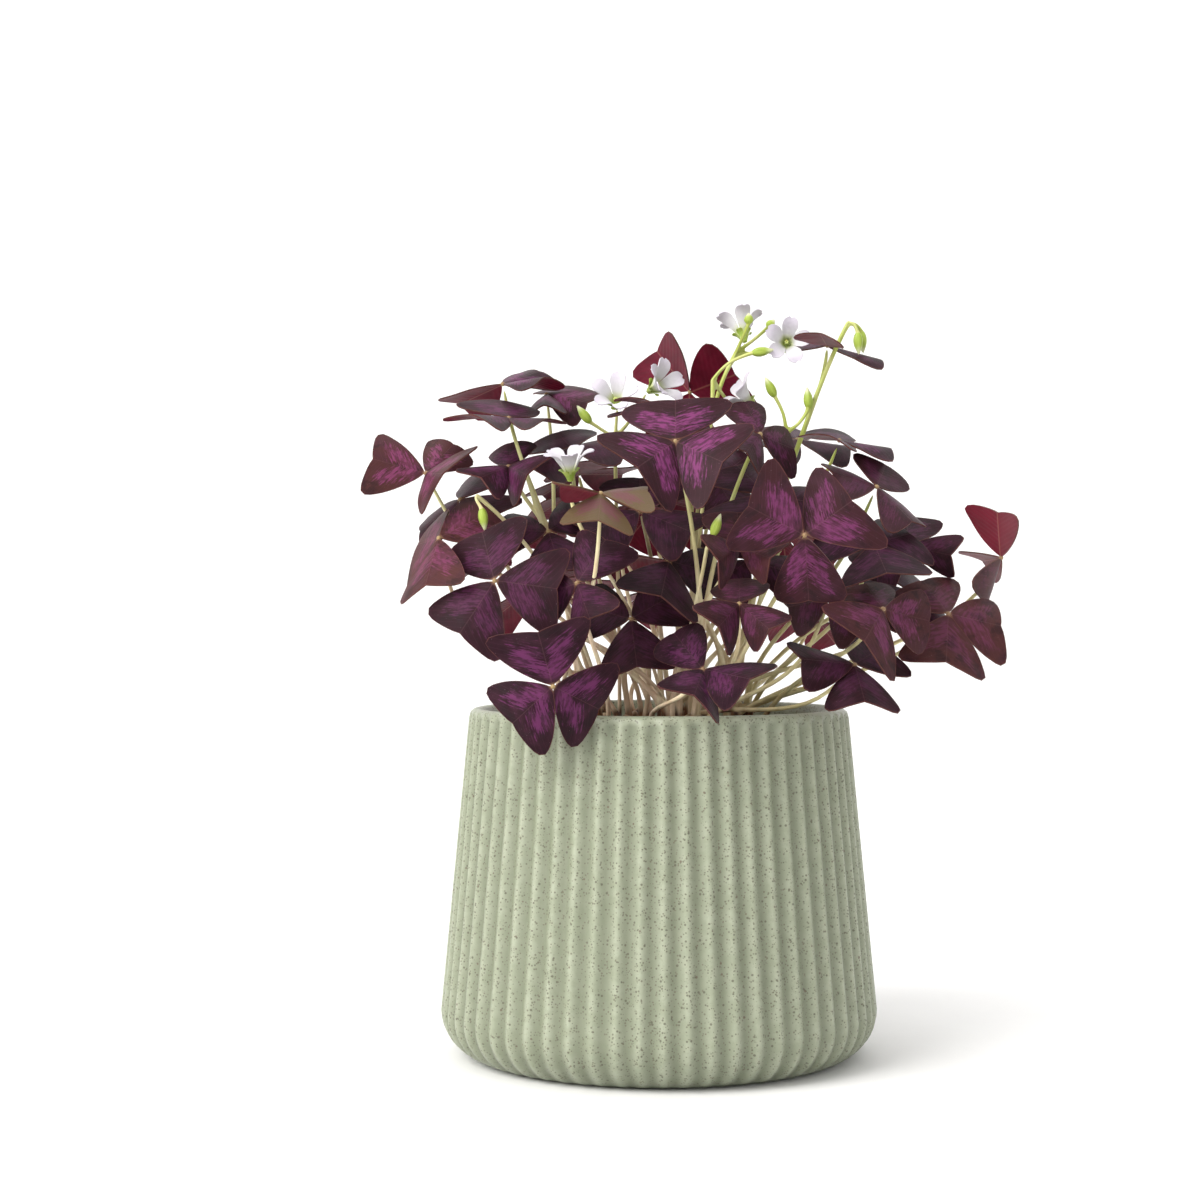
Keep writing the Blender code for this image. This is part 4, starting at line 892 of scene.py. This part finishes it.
def build_stalks():
    # The solid's stalks rounded by subdivision, then filled out to their full thickness again
    stalks = merged_copy_of_node("stalks", "stalks_and_bulbs")
    round_off = stalks.modifiers.new("round", "SUBSURF")
    round_off.levels = 2
    round_off.render_levels = 2
    apply_all(stalks)
    normals = np.empty(len(stalks.data.vertices) * 3)
    stalks.data.vertices.foreach_get("normal", normals)
    places = vertex_places(stalks.data)
    above = places[:, 2] > SOIL_TOP - 2 * MM
    places += normals.reshape(-1, 3) * np.where(above, STALK_FILL, 0.0)[:, None]
    set_places(stalks.data, places)
    smooth(stalks)
    stalks.data.materials.append(stalk_skin())
    return stalks


# Leaves

def lobe_tip(reach, mark):
    across, up, side = mark
    depth = math.sqrt(max(reach * reach - across * across - up * up, 0.0)) * side
    return Vector((across, depth, up)) * MM


def upper_normal(tip_a, tip_b, facing):
    normal = tip_a.cross(tip_b).normalized()
    if normal.dot(facing) < 0.0:
        normal.negate()
    return normal


def leaflet_tips(axis, way, reach, droop):
    middle = way * math.cos(droop) - axis * math.sin(droop)
    side = axis.cross(way).normalized()
    tips = []
    for sign in (1.0, -1.0):
        tip = middle * math.cos(LEAFLET_HALF_ANGLE) + side * (sign * math.sin(LEAFLET_HALF_ANGLE))
        tips.append(tip * reach)
    return tuple(tips)


def complete_leaf(tips, reach, facing):
    # Leaflets that can't be seen take the free directions round the leaf's own axis
    axis = facing.normalized()
    for tip_a, tip_b in tips:
        axis = axis + upper_normal(tip_a, tip_b, facing)
    axis.normalize()
    spread = []
    for tip_a, tip_b in tips:
        middle = tip_a + tip_b
        spread.append((middle - axis * middle.dot(axis)).normalized())
    free = []
    if len(spread) == 2:
        free = [-(spread[0] + spread[1])]
    elif len(spread) == 1:
        turn = Matrix.Rotation(math.radians(120.0), 3, axis)
        free = [turn @ spread[0], turn @ (turn @ spread[0])]
    hidden = [leaflet_tips(axis, way.normalized(), reach * MM, HIDDEN_DROOP) for way in free]
    return list(tips) + hidden


def three_leaflets(facing, turn, reaches, droops):
    slope = Vector((0.0, 0.0, -1.0)) + facing * facing.z
    if slope.length < 0.01:
        slope = Vector((0.0, -1.0, 0.0))
    slope.normalize()
    tips = []
    for leaflet in range(3):
        way = Matrix.Rotation(turn + leaflet * math.tau / 3, 3, facing) @ slope
        tips.append(leaflet_tips(facing, way, reaches[leaflet], droops[leaflet]))
    return tips


def leaflet_axes(tip_a, tip_b, facing):
    normal = upper_normal(tip_a, tip_b, facing)
    along = (tip_a + tip_b) / (2 * LOBE_OUT)
    across = (tip_b - tip_a) / (2 * LOBE_ACROSS)
    if along.cross(across).dot(normal) < 0.0:
        across = -across
    return along, across, normal


def solid_box(tips, facing):
    # Lowest and highest corner of the solid leaf about its own hub
    shape = SOLID_OUTLINE + [(0.0, SOLID_NOTCH)] + [(-x, y) for x, y in SOLID_OUTLINE] + [(0.0, 0.5)]
    low = Vector((1.0, 1.0, 1.0))
    high = -low
    for tip_a, tip_b in tips:
        along, across, normal = leaflet_axes(tip_a, tip_b, facing)
        rise = along.length * LEAF_FOLD
        for x, y in shape:
            middle = along * y + across * x + normal * (rise * (y - FOLD_SPREAD * abs(x)))
            for side in (-0.5, 0.5):
                point = middle + normal * (side * SOLID_LEAF_THICKNESS)
                low = Vector(map(min, low, point))
                high = Vector(map(max, high, point))
    return low, high


def back_leaf_draws():
    draw = random.Random(BACK_SEED)
    for number in range(1, 900):
        height = draw.uniform(0.05, 0.98)
        turn = number * GOLDEN_ANGLE
        flat = math.sqrt(1.0 - height * height)
        way = Vector((flat * math.cos(turn), flat * math.sin(turn), height))
        scale = draw.uniform(0.72, 1.0)
        hub = DOME_CENTRE + Vector((way.x * DOME_RADII.x, way.y * DOME_RADII.y,
                                    way.z * DOME_RADII.z)) * scale
        lean = draw.uniform(0.2, 0.7)
        spin = draw.uniform(0.0, math.tau)
        droop = math.radians(draw.uniform(8.0, 30.0))
        reach = draw.uniform(26.0, 31.0) * MM
        droops = [droop + math.radians(draw.uniform(-6, 6)) for leaflet in range(3)]
        facing = (way * lean + Vector((0.0, 0.0, 1.0)) * (1.0 - lean)).normalized()
        yield hub, facing, three_leaflets(facing, spin, [reach] * 3, droops)


def planned_leaves():
    # Name, hub, leaflet tips and facing of every leaf, its hub read from where its node stands
    leaves = []
    for name, reach, facing, marks in SEEN_LEAVES:
        facing = Vector(facing)
        tips = complete_leaf([(lobe_tip(reach, a), lobe_tip(reach, b)) for a, b in marks], reach, facing)
        leaves.append((name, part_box(name)[0] - solid_box(tips, facing)[0], tips, facing))
    for name, facing, turn, reach, droop in SHADE_LEAVES:
        facing = Vector(facing).normalized()
        tips = three_leaflets(facing, math.radians(turn), [reach * MM] * 3, [math.radians(droop)] * 3)
        leaves.append((name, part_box(name)[0] - solid_box(tips, facing)[0], tips, facing))
    waiting = ["leaf_back_%02d" % (number + 1) for number in range(BACK_LEAVES)]
    for hub, facing, tips in back_leaf_draws():
        low, high = solid_box(tips, facing)
        for name in waiting:
            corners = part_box(name)
            if (corners[0] - hub - low).length < 0.05 * MM and (corners[1] - hub - high).length < 0.05 * MM:
                leaves.append((name, hub, tips, facing))
                waiting.remove(name)
                break
    return leaves


def outline_point(share):
    # A place on the leaflet's half outline, at a share of its length, on a smooth curve
    points = [Vector(p) for p in LEAFLET_OUTLINE]
    lengths = [0.0]
    for before, after in zip(points, points[1:]):
        lengths.append(lengths[-1] + (after - before).length)
    wanted = share * lengths[-1]
    index = 0
    while index < len(points) - 2 and lengths[index + 1] < wanted:
        index += 1
    t = (wanted - lengths[index]) / (lengths[index + 1] - lengths[index])
    p0 = points[max(index - 1, 0)]
    p1 = points[index]
    p2 = points[index + 1]
    p3 = points[min(index + 2, len(points) - 1)]
    bend = p1 * 2 + (p2 - p0) * t + (p0 * 2 - p1 * 5 + p2 * 4 - p3) * (t * t)
    return (bend + (p1 * 3 - p0 - p2 * 3 + p3) * (t * t * t)) * 0.5


def leaflet_blank():
    # One flat leaflet: a grid drawn into the outline, its rows running along the side veins
    deselect_all()
    bpy.ops.mesh.primitive_grid_add(x_subdivisions=LEAF_COLUMNS, y_subdivisions=LEAF_ROWS, size=2.0)
    blank = bpy.context.object
    blank.name = "leaflet_blank"
    places = vertex_places(blank.data)
    foot = LEAFLET_OUTLINE[0][1]
    notch = LEAFLET_OUTLINE[-1][1]
    edge = [outline_point(step / RIM_STEPS) for step in range(RIM_STEPS + 1)]
    rim = []
    for index in range(len(places)):
        side = places[index, 0]
        share = (places[index, 1] + 1.0) / 2.0
        margin = outline_point(share)
        middle = foot + (notch - foot) * share
        out = abs(side) ** 0.9
        x = margin.x * out
        y = middle + (margin.y - middle) * out
        places[index] = (math.copysign(x, side), y, 0.0)
        rim.append(min(math.hypot(x - p.x, y - p.y) for p in edge))
    set_places(blank.data, places)
    point_values(blank.data, "rim", rim)
    layer = blank.data.uv_layers[0]
    layer.name = "blade"
    for loop in blank.data.loops:
        x, y, z = places[loop.vertex_index]
        layer.data[loop.index].uv = (x / BLADE_MAP[0] + 0.5, y / BLADE_MAP[1])
    make_active(blank)
    edit_mode()
    bpy.ops.mesh.select_all(action="SELECT")
    bpy.ops.mesh.remove_doubles(threshold=0.0005)
    object_mode()
    return blank


def bend_leaflet(mesh, hub, tip_a, tip_b, facing, draw):
    # The blade folds along its midrib like a roof, bulges between veins and waves at the margin
    along, across, normal = leaflet_axes(tip_a, tip_b, facing)
    size = along.length
    flat = vertex_places(mesh)
    x = flat[:, 0]
    y = flat[:, 1]
    # The fold is rounded off at the midrib
    soft = np.sqrt(x * x + 0.0010) - 0.0316
    fold = LEAF_FOLD * (y - FOLD_SPREAD * soft * 1.02)
    bulge = 0.020 * np.sin(math.pi * np.clip(np.abs(x) / BLADE_HALF, 0.0, 1.0)) * np.clip(y * 2.0, 0.0, 1.0)
    swing = draw.uniform(0.0, math.tau)
    turn = draw.uniform(0.0, math.tau)
    wave = 0.020 * np.sin(5.2 * x + 3.1 * y + swing) * (np.abs(x) + 0.15)
    ripple = 0.007 * np.sin(13.0 * (y - VEIN_SLOPE * np.abs(x)) + turn) * np.abs(x) / 0.6
    curl = draw.uniform(-0.05, 0.03) * np.clip(np.hypot(x, y) - 0.75, 0.0, 1.0) ** 1.5
    lift = (fold + bulge + wave + ripple + curl) * size
    places = np.outer(y, along) - np.outer(x, across) + np.outer(lift, normal)
    set_places(mesh, places + np.array(hub))


def leaf_values(name, draw):
    # Age, strength of the flame, and share of olive
    age = LEAF_AGE.get(name, draw.uniform(0.0, 0.35))
    flame = LEAF_FLAME.get(name, draw.uniform(0.2, 0.5))
    # Leaves named for the shade they stand in get a young leaf's dark colour and little flame, as painted
    # shade
    if "shade" in name:
        age = draw.uniform(0.0, 0.15)
        flame = draw.uniform(0.08, 0.25)
    return age, flame, 0.85 if name == "leaf_front_pale" else 0.0


def build_leaf(name, hub, tips, facing, blank, skins):
    draw = random.Random(name)
    leaflets = []
    for number, (tip_a, tip_b) in enumerate(tips):
        leaflet = copy_of(blank, "%s_%d" % (name, number))
        bend_leaflet(leaflet.data, hub, tip_a, tip_b, facing, draw)
        leaflets.append(leaflet)
    leaf = join_pieces(leaflets, name + "_fine")
    for skin in skins:
        leaf.data.materials.append(skin)
    wall = leaf.modifiers.new("blade", "SOLIDIFY")
    wall.thickness = LEAF_THICKNESS
    wall.offset = 0.0
    wall.material_offset = 1
    wall.material_offset_rim = 0
    apply_all(leaf)
    deselect_all()
    bpy.ops.mesh.primitive_uv_sphere_add(segments=12, ring_count=8, radius=HEART_RADIUS, location=hub)
    heart = bpy.context.object
    settle_place(heart)
    for skin in skins:
        heart.data.materials.append(skin)
    for face in heart.data.polygons:
        face.material_index = 2
    heart.data.uv_layers[0].name = "blade"
    leaf = join_pieces([leaf, heart], name + "_fine")
    age, flame, pale = leaf_values(name, draw)
    count = len(leaf.data.vertices)
    point_values(leaf.data, "age", [age] * count)
    point_values(leaf.data, "flame_share", [flame] * count)
    point_values(leaf.data, "pale", [pale] * count)
    point_values(leaf.data, "seed", [draw.random()] * count)
    smooth(leaf, 50)
    return leaf


# Flowers

def petal_blank():
    # A petal along the flower's axis: narrow claw, broad round tip, cupped across
    deselect_all()
    bpy.ops.mesh.primitive_grid_add(x_subdivisions=8, y_subdivisions=14, size=2.0)
    petal = bpy.context.object
    petal.name = "petal_blank"
    places = vertex_places(petal.data)
    flat = places.copy()
    line = np.array(PETAL_LINE) * MM
    length = np.concatenate(([0.0], np.cumsum(np.hypot(*(line[1:] - line[:-1]).T))))
    length /= length[-1]
    shares = [share for share, half in PETAL_HALF]
    halves = [half * MM for share, half in PETAL_HALF]
    for index in range(len(places)):
        side = flat[index, 0]
        share = ((flat[index, 1] + 1.0) / 2.0) ** 0.85
        near_tip = share - 0.05 * share ** 6 * (1.0 - side * side) * 0.8
        out = np.interp(near_tip, length, line[:, 0])
        up = np.interp(near_tip, length, line[:, 1])
        half = np.interp(share, shares, halves)
        cup = 0.16 * half * side * side
        places[index] = (out - cup * 0.5, side * half, up + cup)
    set_places(petal.data, places)
    layer = petal.data.uv_layers[0]
    layer.name = "along"
    for loop in petal.data.loops:
        x, y, z = flat[loop.vertex_index]
        layer.data[loop.index].uv = ((x + 1.0) / 2.0, (y + 1.0) / 2.0)
    wall = petal.modifiers.new("wall", "SOLIDIFY")
    wall.thickness = PETAL_THICKNESS
    wall.offset = 0.0
    apply_all(petal)
    return petal


def sepal_blank(petal):
    sepal = copy_of(petal, "sepal_blank")
    places = vertex_places(sepal.data)
    places[:, 0] = places[:, 0] * 0.36 + 0.75 * MM
    places[:, 1] *= 0.42
    places[:, 2] = places[:, 2] * 0.42 - 0.3 * MM
    set_places(sepal.data, places)
    return sepal


def stamen_blank():
    deselect_all()
    bpy.ops.mesh.primitive_cylinder_add(vertices=6, radius=0.16 * MM, depth=5.0 * MM,
                                        location=(0.55 * MM, 0.0, 4.0 * MM))
    thread = bpy.context.object
    settle_place(thread)
    bpy.ops.mesh.primitive_ico_sphere_add(subdivisions=2, radius=0.42 * MM,
                                          location=(0.55 * MM, 0.0, 6.7 * MM))
    knob = bpy.context.object
    settle_place(knob)
    for part in (thread, knob):
        part.data.uv_layers[0].name = "along"
    return join_pieces([thread, knob], "stamen_blank")


def throat_blank():
    deselect_all()
    bpy.ops.mesh.primitive_cone_add(vertices=15, radius1=1.0 * MM, radius2=1.7 * MM, depth=3.2 * MM,
                                    location=(0.0, 0.0, 1.8 * MM))
    throat = bpy.context.object
    settle_place(throat)
    throat.data.uv_layers[0].name = "along"
    soft = throat.modifiers.new("soft", "BEVEL")
    soft.width = 0.3 * MM
    soft.segments = 2
    apply_all(throat)
    return throat


def flower_frame(place, way):
    return Matrix.Translation(place) @ way.to_track_quat("Z", "Y").to_matrix().to_4x4()


def build_bloom(node, place, look, blanks, skins):
    petal, sepal, stamen, throat = blanks
    way = Vector(look).normalized()
    place = Vector(place) * MM + way * 1.0 * MM
    stand = flower_frame(place, Vector(look))
    draw = random.Random(node)
    parts = []
    upright = Matrix.Identity(4)
    between = math.tau / (2 * PETALS)
    for number in range(PETALS):
        turn = number * math.tau / PETALS + 0.13
        lean = Matrix.Rotation(draw.uniform(-0.05, 0.05), 4, "Y")
        kinds = [(petal, 0.0, lean), (sepal, between, upright), (stamen, 0.3, upright)]
        for skin, (blank, extra, own_lean) in enumerate(kinds):
            part = copy_of(blank, "%s_part" % node)
            part.data.transform(stand @ Matrix.Rotation(turn + extra, 4, "Z") @ own_lean)
            parts.append((part, skin))
    middle = copy_of(throat, "%s_throat" % node)
    middle.data.transform(stand)
    parts.append((middle, 1))
    for part, skin in parts:
        for one in skins:
            part.data.materials.append(one)
        for face in part.data.polygons:
            face.material_index = skin
    bloom = join_pieces([part for part, skin in parts], node + "_fine")
    smooth(bloom, 60)
    return bloom


def bud_blank():
    # A pointed bud, five-sided and fat below its middle
    deselect_all()
    bpy.ops.mesh.primitive_uv_sphere_add(segments=15, ring_count=12, radius=1.0)
    bud = bpy.context.object
    bud.name = "bud_blank"
    bud.data.uv_layers[0].name = "along"
    places = vertex_places(bud.data)
    up = (places[:, 2] + 1.0) / 2.0
    around = np.arctan2(places[:, 1], places[:, 0])
    wide = np.interp(up, BUD_HEIGHTS, BUD_WIDTHS)
    ring = np.hypot(places[:, 0], places[:, 1])
    ring = np.where(ring > 1e-6, 1.0, 0.0) * wide * (1.0 + 0.09 * np.cos(5 * around))
    places[:, 0] = ring * np.cos(around)
    places[:, 1] = ring * np.sin(around)
    places[:, 2] = up
    set_places(bud.data, places)
    smooth(bud)
    return bud


def build_buds(blank, skin):
    buds = []
    for stem, heads in FLOWER_HEADS:
        for place, look, kind in heads:
            if kind == "bloom":
                continue
            length = BUD_LENGTH if kind == "bud" else SMALL_BUD_LENGTH
            bud = copy_of(blank, "bud_%s_%d" % (stem, len(buds)))
            size = Matrix.Diagonal((BUD_RADIUS, BUD_RADIUS, length, 1.0))
            bud.data.transform(flower_frame(Vector(place) * MM, Vector(look)) @ size)
            bud.data.materials.append(skin)
            buds.append(bud)
    return join_pieces(buds, "flower_buds")


def main():
    set_up_camera()
    set_up_studio()

    pot = build_pot()
    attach(pot, "root")
    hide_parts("pot")

    soil = build_soil()
    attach(soil, "root")
    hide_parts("soil")
    for extra in (build_crumbs(), build_dry_scales()):
        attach(extra, "root")

    stalks = build_stalks()
    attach(stalks, "root")
    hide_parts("stalks")

    blank = leaflet_blank()
    heart_skin = young_green("leaf_heart", (0.24, 0.14, 0.07), (0.36, 0.25, 0.11))
    skins = [leaf_upper(), leaf_underside(), heart_skin]
    for name, hub, tips, facing in planned_leaves():
        leaf = build_leaf(name, hub, tips, facing, blank, skins)
        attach(leaf, "root")
        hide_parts(name)
    bpy.data.objects.remove(blank, do_unlink=True)

    petal = petal_blank()
    blanks = [petal, sepal_blank(petal), stamen_blank(), throat_blank()]
    green = young_green("calyx_green", (0.26, 0.37, 0.05), (0.42, 0.50, 0.10))
    skins = [petal_skin(), green, young_green("anther_yellow", (0.62, 0.55, 0.10), (0.55, 0.62, 0.20))]
    count = 0
    for stem, heads in FLOWER_HEADS:
        for place, look, kind in heads:
            if kind == "bloom":
                count += 1
                node = "bloom_%s_%d" % (stem, count)
                bloom = build_bloom(node, place, look, blanks, skins)
                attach(bloom, "root")
                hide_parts(node)
    for one in blanks:
        bpy.data.objects.remove(one, do_unlink=True)
    bud = bud_blank()
    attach(build_buds(bud, bud_skin()), "root")
    bpy.data.objects.remove(bud, do_unlink=True)

    bpy.context.view_layer.update()


main()
